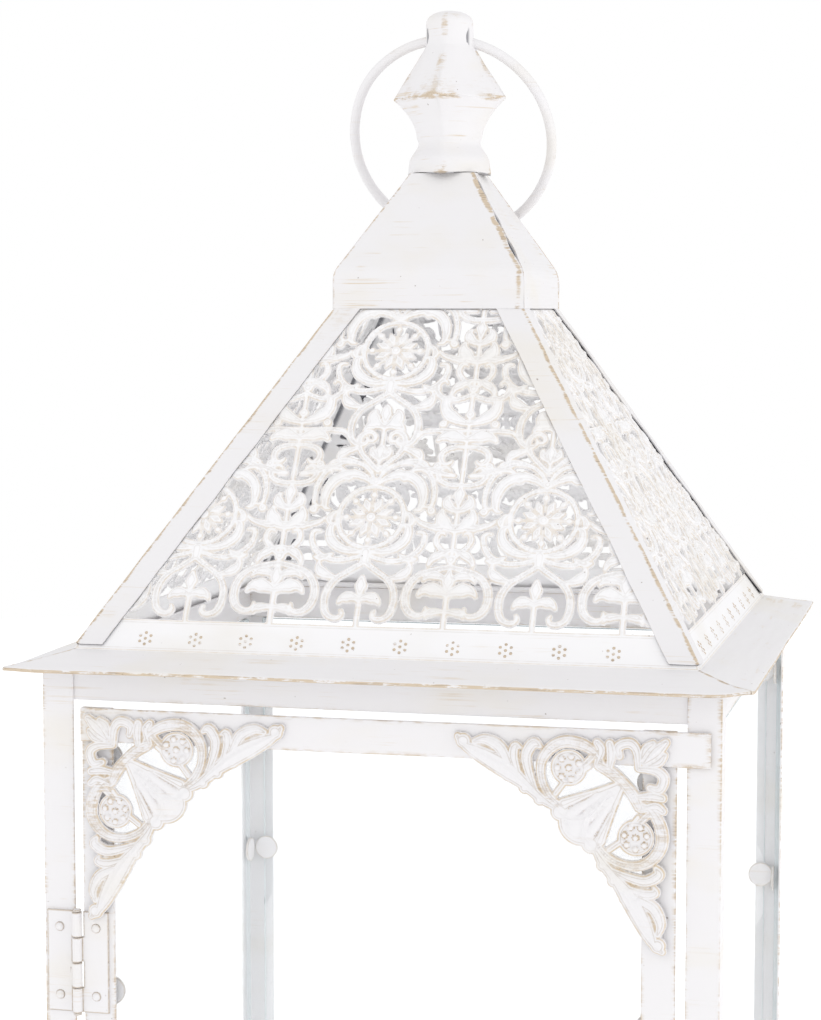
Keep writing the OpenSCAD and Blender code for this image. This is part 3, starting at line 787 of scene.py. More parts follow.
def medallion():
    """Strokes of the ring, its rosette, horns, leaves and the heart above: pairs mirror."""
    ring = [(12.6 * c, 12.6 * s) for c, s in unit_circle(36)]
    strokes = [("band", ring + ring[:1], [1.3] * 37)]
    spokes = unit_circle(16)
    for c, s in spokes[1::2]:
        strokes.append(("leaf", [(r * c, r * s) for r in (2.6, 5.6, 8.0)], [0.9, 1.9, 0.9]))
    for c, s in spokes[::2]:
        strokes.append(("dome", [(4 * c, 4 * s), (12 * c, 12 * s)], [0.7, 0.85]))
        strokes.append(("dome", [(9.4 * c, 9.4 * s)] * 2, [1.5, 1.5]))
    strokes += [("dome", [(0, 0), (0, 0)], [2.3, 2.3]),
                ("dome", [(0, 14.6), (0, 14.6)], [2.1, 2.1]),
                ("dome", [(0, -14.6), (0, -18.0)], [2.4, 2.2]),
                ("dome", [(0, -24.5), (0, -28), (0, -31)], [1.2, 2.6, 1.6]),
                ("dome", [(0, -31), (0, -45)], [1.1, 1.1]),
                ("dome", [(0, 20), (0, 44)], [1.0, 1.0]),
                ("leaf", [(0, 24), (0, 28), (0, 31)], [1.6, 2.6, 1.0]),
                ("dome", [(0, 46), (0, 46)], [2.2, 2.2])]
    pairs = [
        ("band", (0.6, 14.8), 76, 1.2, [(7, -36, 1.3), (11, -60, 1.4), (11, -52, 1.4),
                                        (9, -28, 1.2), (5, -150, 0.9)]),
        ("leaf", (1.6, 14.2), 52, 1.1, [(5, -28, 2.0), (8, -48, 2.5), (8, -50, 2.3),
                                        (7, -30, 1.5), (3, -100, 0.8)]),
        ("leaf", (9.0, 20.0), -110, 1.0, [(3, -30, 1.6), (2, -60, 0.8)]),
        ("leaf", (13.5, 17.0), -150, 1.0, [(3, -30, 1.5), (2, -60, 0.8)]),
        ("band", (2.0, 19.0), 40, 1.0, [(9, -20, 1.3), (8, -45, 1.3), (5, -120, 0.9)]),
        ("band", (1.5, -16), -22, 1.3, [(8, 16, 1.4), (9, 44, 1.5), (9, 52, 1.3),
                                        (4, 120, 1.0)]),
        ("leaf", (1.5, -14.4), 0, 1.2, [(6, 12, 2.0), (7, 38, 2.4), (6, 50, 1.9),
                                        (3, 100, 0.9)]),
        ("leaf", (13.0, -15.5), -35, 1.2, [(4, 20, 1.8), (3, 50, 0.9)]),
        ("leaf", (13.6, 2.0), -25, 1.2, [(4, -60, 1.8), (3, -80, 0.9)]),
        ("band", (0.4, -18.5), -40, 1.5, [(9, 8, 1.4), (9, -45, 1.6), (8, -35, 1.6),
                                          (6, -80, 1.4), (4, -120, 1.0)]),
        ("leaf", (10.0, -25.0), 5, 1.2, [(6, 30, 2.5), (5, 75, 1.0)]),
        ("leaf", (0, -34), 40, 1.5, [(5, -50, 2.5), (4, -60, 1.0)]),
        ("band", (0, 19.5), 42, 1.4, [(9, 6, 1.4), (7, 40, 1.6), (5, 75, 1.5),
                                      (5, 110, 1.3), (3, 120, 0.9)]),
        ("leaf", (8.6, 29.0), -5, 1.2, [(6, -25, 2.3), (4, -80, 1.0)]),
        ("leaf", (0, 38), 25, 1.3, [(6, 30, 3.0), (4, 80, 1.1)]),
        ("leaf", (0, 24), 35, 1.1, [(4, 20, 2.0), (3, 60, 0.9)]),
    ]
    return strokes, pairs


def palmette():
    """Strokes of the column between the medallions."""
    strokes = [("dome", [(0, -19), (0, 55)], [1.1, 1.1]),
               ("dome", [(0, 44), (0, 44)], [2.2, 2.2]),
               ("leaf", [(0, 6), (0, 10), (0, 13)], [1.4, 2.6, 1.2]),
               ("dome", [(0, -17), (0, -17)], [2.2, 2.2])]
    pairs = [
        ("leaf", (0, -5), 20, 1.6, [(6, 30, 3.3), (5, 60, 1.4)]),
        ("leaf", (0, 3), 15, 1.4, [(5, 40, 2.5), (4, 90, 1.0)]),
        ("leaf", (0, -3), -25, 1.3, [(7, 35, 1.9), (6, 10, 1.4), (3, 40, 1.0)]),
        ("band", (0, 14), -10, 1.3, [(7, 35, 1.5), (6, 90, 1.5), (5, 130, 1.0)]),
        ("leaf", (3, 18.0), 0, 1.2, [(7, 25, 1.8), (7, -30, 1.6), (4, -40, 1.1)]),
        ("band", (0, 30), 10, 1.3, [(7, -35, 1.5), (6, -90, 1.5), (5, -130, 1.0)]),
        ("leaf", (0, 33), 30, 1.5, [(6, -20, 3.2), (6, -60, 1.3)]),
        ("leaf", (0, 40), 15, 1.4, [(8, 20, 3.0), (7, 60, 2.2), (4, 100, 1.0)]),
        ("band", (0, 37), -5, 1.2, [(9, 10, 1.4), (7, -15, 1.4), (4, -60, 1.0)]),
        ("band", (0, 53), -35, 1.3, [(8, 30, 1.5), (7, 60, 1.6), (6, 90, 1.3), (3, 120, 0.9)]),
        ("band", (0, -17), 40, 1.3, [(8, 10, 1.4), (5, 70, 1.4), (3, 120, 0.9)]),
        ("leaf", (0, -13), -15, 1.2, [(6, -15, 2.2), (5, -50, 1.1)]),
    ]
    return strokes, pairs


def lotus():
    """The wide flower that stands on the plain band, below each palmette."""
    strokes = [("dome", [(0, -18), (0, -45)], [1.2, 1.2]),
               ("leaf", [(0, -22), (0, -26), (0, -29)], [1.6, 2.8, 1.4])]
    pairs = [
        ("band", (0, -20), -8, 1.6, [(8.5, -10, 1.6), (9, -50, 1.8), (8.5, -45, 1.8),
                                     (6, -60, 1.5), (5, -110, 1.0)]),
        ("leaf", (0, -31), 32, 1.6, [(6, -20, 3.2), (6, -75, 1.1)]),
        ("leaf", (0, -26), 50, 1.2, [(6, -45, 2.2), (5, -60, 1.0)]),
        ("leaf", (0, -38), 10, 1.2, [(5, -20, 2.0), (3, -70, 0.9)]),
    ]
    return strokes, pairs


def press(relief, motif, at):
    """Presses a motif at a place: single strokes, and pairs that mirror each other."""
    strokes, pairs = motif
    for style, points, widths in strokes:
        relief.stroke([(x + at[0], y + at[1]) for x, y in points], widths, style)
    for style, start, heading, width, moves in pairs:
        points, widths = turtle(start, heading, width, moves)
        for side in (1, -1):
            relief.stroke([(side * x + at[0], y + at[1]) for x, y in points], widths, style)


PERIOD_U_MM, PERIOD_V_MM = 65.0, 72.0
MEDALLION_U_MM, FIRST_ROW_MM = -10.0, 57.0
FOOT_BAND_MM, HIP_BAND_MM, HEAD_BAND_MM = 13.0, 6.5, 7.5
SIDE_DISC_U_MM, SIDE_DISC_V_MM, SIDE_DISC_RADIUS_MM = 22.6, (3.0, 22.0, 40.0), 2.0
ROOF_GRID_MM, ORNAMENT_GRID_MM = 0.72, 0.42
ROOF_RELIEF = 1.30
CRUMPLE = 0.25 * MM
FAR_FROM_RIM_MM = 5.0


def roof_relief():
    foot, length = FOOT_HALF / MM, PANEL_LENGTH / MM
    relief = Relief(-foot - 1, foot + 1, -1, length + 1, ROOF_GRID_MM)
    for row in range(3):
        v = FIRST_ROW_MM + row * PERIOD_V_MM
        for column in range(-2, 3):
            u = MEDALLION_U_MM + column * PERIOD_U_MM
            press(relief, medallion(), (u, v))
            middle = u + PERIOD_U_MM / 2
            press(relief, palmette(), (middle, v))
            if row == 0:
                press(relief, lotus(), (middle, v))
            for up in SIDE_DISC_V_MM:
                for side in (-1, 1):
                    relief.disc((u + side * SIDE_DISC_U_MM, v + up), SIDE_DISC_RADIUS_MM)
    hip = foot - relief.V * COS_P - np.abs(relief.U)
    margin = np.maximum.reduce([FOOT_BAND_MM - relief.V, HIP_BAND_MM - hip,
                                relief.V - (length - HEAD_BAND_MM)])
    flat = smooth(margin, -1.6, 0.4)
    relief.metal = np.maximum(relief.metal, margin)
    relief.high = np.maximum(relief.high, 0) * ROOF_RELIEF * (1 - flat) * smooth(hip, 8, 14)
    relief.rub *= 1 - flat
    relief.keep_joined(margin > 0.2)
    outline = np.minimum.reduce([hip * SIN_P, relief.V, length - relief.V])
    relief.metal = np.minimum(relief.metal, outline)
    return relief


def on_roof(u, v, h):
    """A point of the front roof plane: u along it, v up the slope, h above it."""
    u, v, h = np.broadcast_arrays(u, v, h)
    return np.stack([u, -FOOT_HALF + v * COS_P - h * SIN_P, FOOT_Z + v * SIN_P + h * COS_P], -1)


def build_roof_panels():
    """One pierced and pressed sheet for each side, crumpled a little, with painted shade on its
    back face along the hips.
    """
    data, faces = roof_relief().solid()
    u, v, high, rub, rim = data.T
    rims = np.concatenate([rim, np.full(len(rim), FAR_FROM_RIM_MM)])
    from_hip = FOOT_HALF / MM - v * COS_P - np.abs(u)
    # Painted shade on the back face along the hips, where the seams look dark through the
    # openings.
    shade_amount = np.concatenate([u * 0, 0.9 * smooth(-from_hip, -3.2, -1.6)])
    inside = np.minimum(v * MM, PANEL_LENGTH - v * MM)
    for side, word in enumerate(SIDES):
        wave = ripple(np.stack([u, v, u * 0], -1), 34.0, 70 + side) * CRUMPLE
        h = high * MM + wave * smooth(inside, 0, 12 * MM)
        front = on_roof(u * MM, v * MM, h)
        back = on_roof(u * MM, v * MM, h - THIN_SHEET)
        pts = quarter_turn(np.concatenate([front, back]), side)
        worn = np.concatenate([rub * (0.72 + 0.5 * ripple(front, 0.02, 80 + side)), rub * 0])
        add_piece(f"roof_filigree_{word}", pts, faces, [FILIGREE], [f"roof_panel_{word}"],
                  rub=worn, painted_shade=shade_amount, rim=rims, crease=50)
        build_punched_flowers(word, side)


FLOWER_COUNT, FLOWER_FIRST_MM, FLOWER_STEP_MM, FLOWER_V_MM = 10, -89.0, 19.35, 5.2
DIMPLE_MM = ((0.60, -0.12), (0.60, 0.05), (0.34, 0.2))


def build_punched_flowers(word, side):
    """Seven small dimples for each flower on the plain band, rubbed down to brown."""
    petals = [(0.0, 0.0)] + [(-2.3 * s, 2.3 * c) for c, s in unit_circle(6)]
    corners = unit_circle(8)
    pts, faces = [], []
    for i in range(FLOWER_COUNT):
        for du, dv in petals:
            u, v = FLOWER_FIRST_MM + FLOWER_STEP_MM * i + du, FLOWER_V_MM + dv
            faces += shifted(loop_faces(len(DIMPLE_MM), len(corners)), len(pts))
            pts += [on_roof((u + r * c) * MM, (v + r * s) * MM, h * MM)
                    for r, h in DIMPLE_MM for c, s in corners]
    add_piece(f"foot_flowers_{word}", quarter_turn(pts, side), faces, [PAINT],
              rub=[1.3] * len(pts), crease=60)


# ------------------------------------------------------------ door ornaments

def curve(points, widths, steps=6):
    """A smooth line through the points, with smooth half-widths."""
    p = np.array([points[0], *points, points[-1]], float)
    w = np.array([widths[0], *widths, widths[-1]], float)
    out, wide = [], []
    for i in range(1, len(p) - 2):
        for k in range(steps):
            t = k / steps
            c = np.array([-0.5 * t ** 3 + t * t - 0.5 * t, 1.5 * t ** 3 - 2.5 * t * t + 1,
                          -1.5 * t ** 3 + 2 * t * t + 0.5 * t, 0.5 * t ** 3 - 0.5 * t * t])
            out.append(tuple(c @ p[i - 1:i + 3]))
            wide.append(float(max(c @ w[i - 1:i + 3], 0.5)))
    out.append(tuple(p[-2]))
    wide.append(float(w[-2]))
    return out, wide


# Half of the corner ornament, in mm from its outer corner: along the rail, down
SPANDREL_LINES = [
    ("leaf", [(10, 10), (6, 6), (2.5, 2.5)], [1.5, 2.6, 1.8]),
    ("leaf", [(9, 11), (5, 9.5), (3, 7)], [1.2, 2.0, 1.6]),
    ("leaf", [(12, 12), (12.5, 6), (15, 3.2), (19, 4.6), (18.5, 8)], [1.6, 2.0, 2.2, 2.1, 1.6]),
    ("leaf", [(22, 12), (21.5, 7), (22, 3.6)], [1.6, 2.1, 1.9]),
    ("leaf", [(26.5, 11), (25, 6), (26.5, 3.4)], [1.6, 2.1, 1.8]),
    ("band", [(24.5, 10.5), (27, 7), (32, 4.2), (38, 3.6), (43, 6.2), (46, 11), (46, 17),
              (43.5, 22.5), (39.5, 26)], [1.4, 2, 2.4, 2.4, 2.3, 2, 1.8, 1.8, 1.6]),
    ("band", [(27, 7), (29, 9.5), (31.5, 12)], [1.6, 1.6, 1.4]),
    ("dome", [(38, 18), (41, 22)], [1.4, 1.4]),
    ("dome", [(33, 15), (29, 12)], [1.2, 1.2]),
    ("band", [(25.5, 11.5), (21, 14), (17.2, 17.2)], [2.2, 2.4, 2.2]),
    ("leaf", [(22, 21), (29, 29.5), (36, 31), (41, 27)], [1.8, 2.2, 2.0, 1.6]),
    ("leaf", [(41, 27), (46, 24), (52, 19), (58, 14.5), (64, 11), (70, 8), (74.5, 5.5),
              (76, 3.2)], [1.6, 2.2, 2.8, 3.8, 3.8, 3, 1.8, 1.6]),
    ("leaf", [(48, 21), (50.5, 15), (51.5, 9), (49, 4.6), (46.6, 5.6)], [1.4, 2, 2.3, 2.3, 1.3]),
    ("leaf", [(54, 16), (56, 10), (55.5, 6), (53.4, 6.3)], [1.6, 2.2, 2.0, 1.0]),
    ("leaf", [(58, 12), (61, 6.5), (66, 4), (70, 4.8)], [2.4, 2.6, 2.2, 1.5]),
]
SPANDREL_DISCS = [((33.5, 33.5), 3.9), ((39.5, 28.5), 3.5), ((74.0, 4.8), 3.0),
                  ((58, 16.4), 2.3), ((64.5, 12.6), 2.1), ((69.0, 9.4), 1.8),
                  ((46.5, 24.2), 2.6), ((52, 20.5), 2.4)]
ROSETTE = (36.4, 12.8)
FAN_RIBS = [((18.6, 18.6), (24.5, 24.5), (31.5, 31.5)),
            ((19.4, 18.2), (26.6, 22.8), (35.8, 29.0)),
            ((20.0, 17.6), (28.4, 21.2), (38.2, 25.2))]


def spandrel_relief():
    """The ornament, from strokes on one side of its diagonal and their mirror images."""
    relief = Relief(-1, 80, -1, 80, ORNAMENT_GRID_MM)

    def both(points, widths, style):
        for half in (points, [(y, x) for x, y in points]):
            relief.stroke(half, widths, style)

    for style, points, widths in SPANDREL_LINES:
        both(*curve(points, widths), style)
    for centre, radius in SPANDREL_DISCS:
        both([centre] * 2, [radius] * 2, "dome")
    both([ROSETTE] * 2, [6.6] * 2, "ground")
    for c, s in [*unit_circle(7), (0, 0)]:
        both([(ROSETTE[0] + 4 * c, ROSETTE[1] + 4 * s)] * 2, [1.35] * 2, "dot")
    relief.stroke([(19, 19), (25, 25), (32, 32)], [2.4, 5.6, 8.4], "ground")
    for rib in FAN_RIBS:
        both(*curve(rib, [0.9, 1.35, 2.1]), "rib")
    outline = np.minimum.reduce([relief.U, relief.V, 78 - relief.U, 78 - relief.V])
    relief.high = np.maximum(relief.high, 0) * 1.25
    relief.metal = np.minimum(relief.metal, outline)
    relief.keep_joined(np.hypot(relief.U - 20, relief.V - 20) < 6)
    return relief


def build_spandrels():
    data, faces = spandrel_relief().solid()
    u, v, high, rub, rim = data.T
    rims = np.concatenate([rim, np.full(len(rim), FAR_FROM_RIM_MM)])
    lo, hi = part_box("door_spandrel_left")
    for k, (word, sign) in enumerate((("left", 1), ("right", -1))):
        x, z = sign * (lo.x + u * MM), hi.z - v * MM
        bend = 0.2 * MM * ripple(np.stack([u, v, 0 * u], -1), 22.0, 90 + k)
        front = np.stack([x, hi.y - 1.0 * MM - high * MM + bend, z], -1)
        back = np.stack([x, hi.y - 0.05 * MM - 0.6 * high * MM, z], -1)
        worn = rub * (0.95 + 0.6 * ripple(front, 0.015, 95 + k))
        turned = [f[::-sign] for f in faces]
        add_piece(f"door_ornament_{word}", np.concatenate([front, back]), turned, [ORNAMENT],
                  [f"door_spandrel_{word}"], body="door", rub=np.concatenate([worn, worn * 0]),
                  rim=rims, crease=50)


# ------------------------------------------------------------ roof strips and cap

def build_hip_strips():
    """A sheet folded over each hip, with a rough rubbed fold, slightly wavy edges and painted
    shade on its underside.
    """
    rows = 150
    wide, thick = 10 * MM, 0.8 * MM
    low, high = (corner.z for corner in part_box("hip_strip_front_left"))
    n1, n2 = np.array([0, -SIN_P, COS_P]), np.array([-SIN_P, 0, COS_P])
    a, b = np.array([1.0, 0, 0]), np.array([0, 1.0, 0])
    mitre = (n1 + n2) / (1 + n1 @ n2)
    over = np.array([1, 0.97, 0.9, 0.75, 0.6, 0.45, 0.32, 0.22, 0.16])
    below = np.array([1, 0.97, 0.6, 0.2])
    across = np.linspace(0, 1, 9)
    for side, word in enumerate(("front_left", "front_right", "back_right", "back_left")):
        pts, rub, painted_shade = [], [], []
        for t in np.linspace(0, 1, rows):
            z = low + (high - low) * t
            half = FOOT_HALF - (z - FOOT_Z) * COS_P / SIN_P
            p = np.array([-half, -half, z])
            rough = shake(t * 14, side * 5.3, 1.7)
            edge_a = wide + 0.35 * MM * shake(t * 11, side * 3.1, 4.2)
            edge_b = wide + 0.35 * MM * shake(t * 11, side * 3.1, 9.4)
            lift = (0.6 if word == "back_right" else 0.25) * MM
            lift *= 1 + shake(t * 9, side * 2.3, 7.7)

            def flap(along, edge, normal, rise, stops):
                return [p + along * edge * k + normal * (rise + lift * k ** 3) for k in stops]

            start = p + a * 1.5 * MM + n1 * thick
            stop = p + b * 1.5 * MM + n2 * thick
            bead = p + mitre * thick * (1.75 + 0.5 * rough) + (a - b) * 0.35 * MM * rough
            arc = [(1 - s) ** 2 * start + 2 * s * (1 - s) * bead + s * s * stop for s in across]
            pts += (flap(a, edge_a, n1, thick, over) + arc
                    + flap(b, edge_b, n2, thick, over[::-1])
                    + flap(b, edge_b, n2, 0.05 * MM, below) + [p + mitre * 0.05 * MM]
                    + flap(a, edge_a, n1, 0.05 * MM, below[::-1]))
            ridge = 1.5 + 0.6 * shake(t * 26, side, 3.3)
            drift = 0.3 * shake(t * 19, side, 6.1)
            fold = [*(ridge * bell(2 * across - 1 - drift, 0.5))]
            crown = 0.36 * max(0.0, 4 * t - 3) if side == 0 else 0.0
            edge = [0.45, 0.2] + [crown] * 7
            rub += edge + fold + edge[::-1] + [0.0] * 9
            # Painted shade: the nine underside points of each row are dark, for the gap under the
            # strip.
            painted_shade += [0.0] * 27 + [1.0] * 9
        add_piece(f"hip_fold_{word}", quarter_turn(pts, side), loop_faces(rows, len(pts) // rows),
                  [PAINT], [f"hip_strip_{word}"], rub=rub, painted_shade=painted_shade, crease=55)


def cap_path():
    """Section of the cap from its lower edge to its top: (distance out, height)."""
    kink = CAP_BOTTOM + CAP_SKIRT
    corners = [np.array([CAP_HALF, CAP_BOTTOM]), np.array([CAP_HALF, kink]),
               np.array([CAP_TOP_HALF, CAP_TOP])]
    bend = 3.0 * MM
    down = corners[1] - np.array([0, bend])
    slope = corners[2] - corners[1]
    up = corners[1] + slope / np.linalg.norm(slope) * bend
    pts = [corners[0] + (down - corners[0]) * t for t in np.linspace(0, 1, 9)]
    pts += [(1 - t) ** 2 * down + 2 * t * (1 - t) * corners[1] + t * t * up
            for t in np.linspace(0.2, 1, 5)]
    pts += [up + (corners[2] - up) * t for t in np.linspace(0, 1, 26)[1:]]
    return np.array(pts)


def build_cap():
    """Four folded faces over an inner shell painted dark as shade, their seam open at the front
    right.
    """
    path = cap_path()
    tangent = np.gradient(path, axis=0)
    tangent /= np.linalg.norm(tangent, axis=1)[:, None]
    outward = np.stack([tangent[:, 1], -tangent[:, 0]], -1)
    across, rows = 64, len(path)
    s = np.sin(np.linspace(-0.5, 0.5, across) * math.pi)
    t = np.linspace(0, 1, rows)
    gape = bell(t - 0.455, 0.07) + 0.55 * bell(t - 0.66, 0.04) + 0.45 * bell(t - 0.91, 0.05)
    low = (path[:, 1] - CAP_BOTTOM) / MM
    pts, faces, rub, painted_shade = [], [], [], []

    def add_part(points, part_faces, worn, shade_amount):
        faces.extend(shifted(part_faces, sum(len(p) for p in pts)))
        pts.append(points)
        rub.append(worn)
        painted_shade.append(np.full(len(points), shade_amount))

    for side in range(4):
        gap_r = (0.20 + 0.65 * gape * (side == 0) + 0.10 * np.sin(t * 31 + side * 2.1)) * MM
        gap_l = (0.22 + 3.2 * gape * (side == 1) + 0.12 * np.sin(t * 17 + side)) * MM
        left, right = gap_l - path[:, 0], path[:, 0] - gap_r
        x = left + (right - left) * (s[:, None] + 1) / 2
        layers = []
        for depth in (0.0, THIN_SHEET):
            r, z = (path - outward * depth).T
            face = np.stack([x, np.broadcast_to(-r, x.shape), np.broadcast_to(z, x.shape)], -1)
            face[..., 1] += 0.22 * MM * ripple(face * [1, 0, 1], 0.022, 30 + side)
            layers.append(quarter_turn(face, side))
        edge_r, edge_l = (right - x) / MM, (x - left) / MM
        wander = 0.75 + 0.8 * ripple(layers[0], 0.012, 33 + side)
        away = 1.0 + 1.1 * (1 - smooth(low, 11, 17)) + 0.7 * ripple(layers[0], 0.006, 36 + side)
        worn = wander * (1.6 * bell(edge_r - away, 1.1) + 0.9 * bell(edge_l, 0.8)
                         + 0.25 * bell(low, 0.5))
        shell = grid_shell_faces(across, rows)
        # The back layer of each face takes painted shade at 0.55.
        add_part(np.concatenate(layers).reshape(-1, 3), shell,
                 np.concatenate([worn.ravel(), worn.ravel() * 0]),
                 np.repeat([0, 0.55], worn.size))
    corners = ((-1, -1), (1, -1), (1, 1), (-1, 1))
    inner = [(x * r, y * r, z) for depth in CAP_SHELL_DEPTHS
             for r, z in path - outward * depth for x, y in corners]
    n = len(inner) // 2
    tube = []
    for i in range(rows - 1):
        for k, m in zip(range(4), (1, 2, 3, 0)):
            quad = [4 * i + k, 4 * i + m, 4 * i + 4 + m, 4 * i + 4 + k]
            tube += [quad, [q + n for q in quad[::-1]]]
    for row, step in ((0, 1), (4 * rows - 4, -1)):
        for k, m in zip(range(4), (1, 2, 3, 0)):
            tube.append([row + k, row + k + n, row + m + n, row + m][::step])
    # The inner shell is painted full shade, so the open seam shows dark.
    add_part(inner, tube, np.zeros(2 * n), 1.0)
    # The top plate under the finial takes a little painted shade.
    flat = CAP_TOP_HALF - 0.3 * MM
    plate = [(x * flat, y * flat, CAP_TOP - d) for d in (0, THIN_SHEET) for x, y in corners]
    add_part(plate, [[0, 1, 2, 3], [7, 6, 5, 4], [0, 4, 5, 1], [1, 5, 6, 2], [2, 6, 7, 3],
                     [3, 7, 4, 0]], np.zeros(8), 0.3)
    add_piece("roof_cap_sheet", np.concatenate(pts), faces, [CAP_PAINT], ["roof_cap"],
              rub=np.concatenate(rub), painted_shade=np.concatenate(painted_shade), crease=40)


# ------------------------------------------------------------ finial and ring

GIRDLE_HEIGHT = 29.8 * MM


def finial_sections():
    """(height, half-diagonal, squareness) up the finial, whose height is the frame's."""
    h = FINIAL_HEIGHT
    foot, waist, wide, neck = 16.8 * MM, 13.2 * MM, 23.2 * MM, 9.5 * MM
    rim_h, waist_h, wide_h, neck_h = 4.6 * MM, 0.195 * h, GIRDLE_HEIGHT, h - 14 * MM
    shoulder = h - 5.0 * MM
    rows = [(0.0, foot * 0.99, 1.6), (0.4 * MM, foot, 1.6)]
    rows += [(rim_h * t, foot - 0.5 * MM * t, 1.6) for t in (0.3, 0.6, 0.85)]
    for t in np.linspace(0, 1, 9)[1:]:
        e = (1 - math.cos(math.pi * t)) / 2
        rows.append((rim_h + (waist_h - rim_h) * t, foot - 0.6 * MM + (waist - foot) * e,
                     1.6 - 0.2 * e))
    for t in (*np.linspace(0, 0.9, 10)[1:], 0.95, 0.98):
        e = t ** 2.1
        rows.append((waist_h + (wide_h - waist_h) * t, waist + (wide - waist) * e, 1.4 - 0.28 * e))
    rows += [(wide_h + d * MM, wide - 0.25 * MM, 1.10) for d in (-0.25, 0.25)]
    for t in np.linspace(0.04, 1, 20):
        rows.append((wide_h + (neck_h - wide_h) * t, wide + (neck + 0.3 * MM - wide) * t,
                     1.10 + 0.42 * t ** 3))
    for t in np.linspace(0.12, 1, 6):
        rows.append((neck_h + (shoulder - neck_h) * t, neck + 0.3 * MM * (1 - t) ** 2,
                     1.52 + 0.13 * t))
    for k in range(1, 8):
        a = math.radians(12.5 * k)
        rows.append((shoulder + (h - shoulder) * math.sin(a), neck * math.cos(a) ** 0.8,
                     1.65 + 0.04 * k))
    return rows


def build_finial():
    """The cast finial with its girdle, drilled for the ring and worn on its ridges, with painted
    shade inside the hole and under its foot.
    """
    circle, base = unit_circle(96), finial_lo.z
    pts = []
    for height, reach, power in finial_sections():
        for c, s in circle:
            r = reach / (abs(c) ** power + abs(s) ** power) ** (1 / power)
            arch = 2.8 * MM * abs(s * c) - 0.9 * MM if height == 0 else 0.0
            pts.append((r * c, r * s, base + height + arch))
    pts = np.array(pts)
    pts += 0.25 * MM * np.stack([ripple(pts, 0.012, 50), ripple(pts, 0.012, 51),
                                 pts[:, 2] * 0], -1)
    piece = add_piece("finial_casting", pts, loop_faces(len(pts) // len(circle), len(circle)),
                      [CAST], ["finial"], crease=60)
    drill(piece, RING_HOLE, HOLE_AXIS, HOLE_RADIUS)
    mesh = piece.data
    co = np.array([v.co for v in mesh.vertices])
    x, y, z = co.T / MM
    h = z - base / MM
    along = np.maximum(np.abs(x), np.abs(y)) / np.maximum(np.hypot(x, y), 1e-3)
    wave = ripple(co, 0.008, 55)
    ridge = smooth(along, 0.975, 0.9998) * (0.55 + 0.8 * wave) * smooth(h, 24, 32)
    girdle = bell(h - GIRDLE_HEIGHT / MM, 1.2) * (0.6 + 0.7 * smooth(along, 0.85, 1) + 0.7 * wave)
    crown = smooth(h, 58.5, 61.5) * (0.25 + 0.6 * wave)
    haze = 0.36 * smooth(h, 26, 31) * smooth(-h, -48, -34) * (0.8 + 0.6 * wave)
    foot = bell(h, 4.0) * smooth(along, 0.97, 1.0) * (0.75 + 0.8 * wave)
    rub = np.clip(np.maximum.reduce([ridge * 0.85, girdle, crown, foot, haze]), 0, 1.3)
    off = np.cross(co - np.array(RING_HOLE), np.array(HOLE_AXIS))
    hole = np.linalg.norm(off, axis=1) < HOLE_RADIUS + 0.05 * MM
    deep = smooth(8.9 - np.abs(x), 0.0, 0.8)
    set_point_values(mesh, "rub", np.where(hole, 0, rub))
    # Painted shade in the ring hole, from a little inside its mouth, and on the lowest edge of the
    # foot.
    set_point_values(mesh, "painted_shade", np.maximum(hole * 0.85 * deep, (h < 0.3) * 0.9))
    mesh.set_sharp_from_angle(angle=math.radians(60))


def drill(piece, centre, axis, radius):
    """Cuts a round hole through a piece, with rings of points along the hole's wall."""
    circle = unit_circle(40)
    across = axis.cross(Vector((0, 0, 1))).normalized()
    up = across.cross(axis)
    stops = [-30 * MM, *(k * 0.8 * MM for k in range(-12, 13)), 30 * MM]
    mesh = bpy.data.meshes.new("drill")
    mesh.from_pydata([centre + axis * stop + (across * c + up * s) * radius
                      for stop in stops for c, s in circle], [],
                     loop_faces(len(stops), len(circle)))
    mesh.validate()
    tool = add_object("drill", mesh)
    cut = piece.modifiers.new("hole", "BOOLEAN")
    cut.object = tool
    cut.operation = "DIFFERENCE"
    cut.solver = "EXACT"
    bpy.context.view_layer.update()
    graph = bpy.context.evaluated_depsgraph_get()
    piece.data = bpy.data.meshes.new_from_object(piece.evaluated_get(graph))
    piece.modifiers.clear()
    bpy.data.objects.remove(tool)


def build_ring():
    """The hand ring of bent wire, a little uneven, with its joint soldered and filed."""
    steps, section = 260, unit_circle(20)
    up = -np.array((RING_CENTRE - RING_HOLE).normalized())
    side = np.array(HOLE_AXIS)
    out = np.cross(up, side)
    pts, rub = [], []
    for i, (c, s) in enumerate(unit_circle(steps)):
        a = 2 * math.pi * i / steps
        radial = c * up + s * side
        joint_swell = 1 + 0.06 * bell((a - 4.0) * RING_RADIUS, 3 * MM)
        wobble = 0.18 * MM * shake(c * 2, s * 2, 0.3)
        mid = np.array(RING_CENTRE) + radial * (RING_RADIUS + wobble)
        patch = shake(c * 5, s * 5, 2.2)
        at_hole = bell(min(a, 2 * math.pi - a) * RING_RADIUS, 6 * MM)
        for p, q in section:
            pts.append(mid + (radial * p + out * q) * RING_WIRE * 0.985 * joint_swell)
            rub.append(max(0.0, 0.75 * patch + 0.1) * (0.5 + 0.5 * p)
                       + 0.9 * at_hole * (0.5 + patch))
    around = len(section)
    i, k = (a.ravel() for a in np.meshgrid(np.arange(steps), np.arange(around), indexing="ij"))
    j, m = (i + 1) % steps, (k + 1) % around
    faces = np.stack([i * around + k, j * around + k, j * around + m, i * around + m], -1)
    add_piece("ring_wire", pts, faces, [WIRE], ["ring_handle"], body="ring",
              rub=rub)


# ------------------------------------------------------------ glass

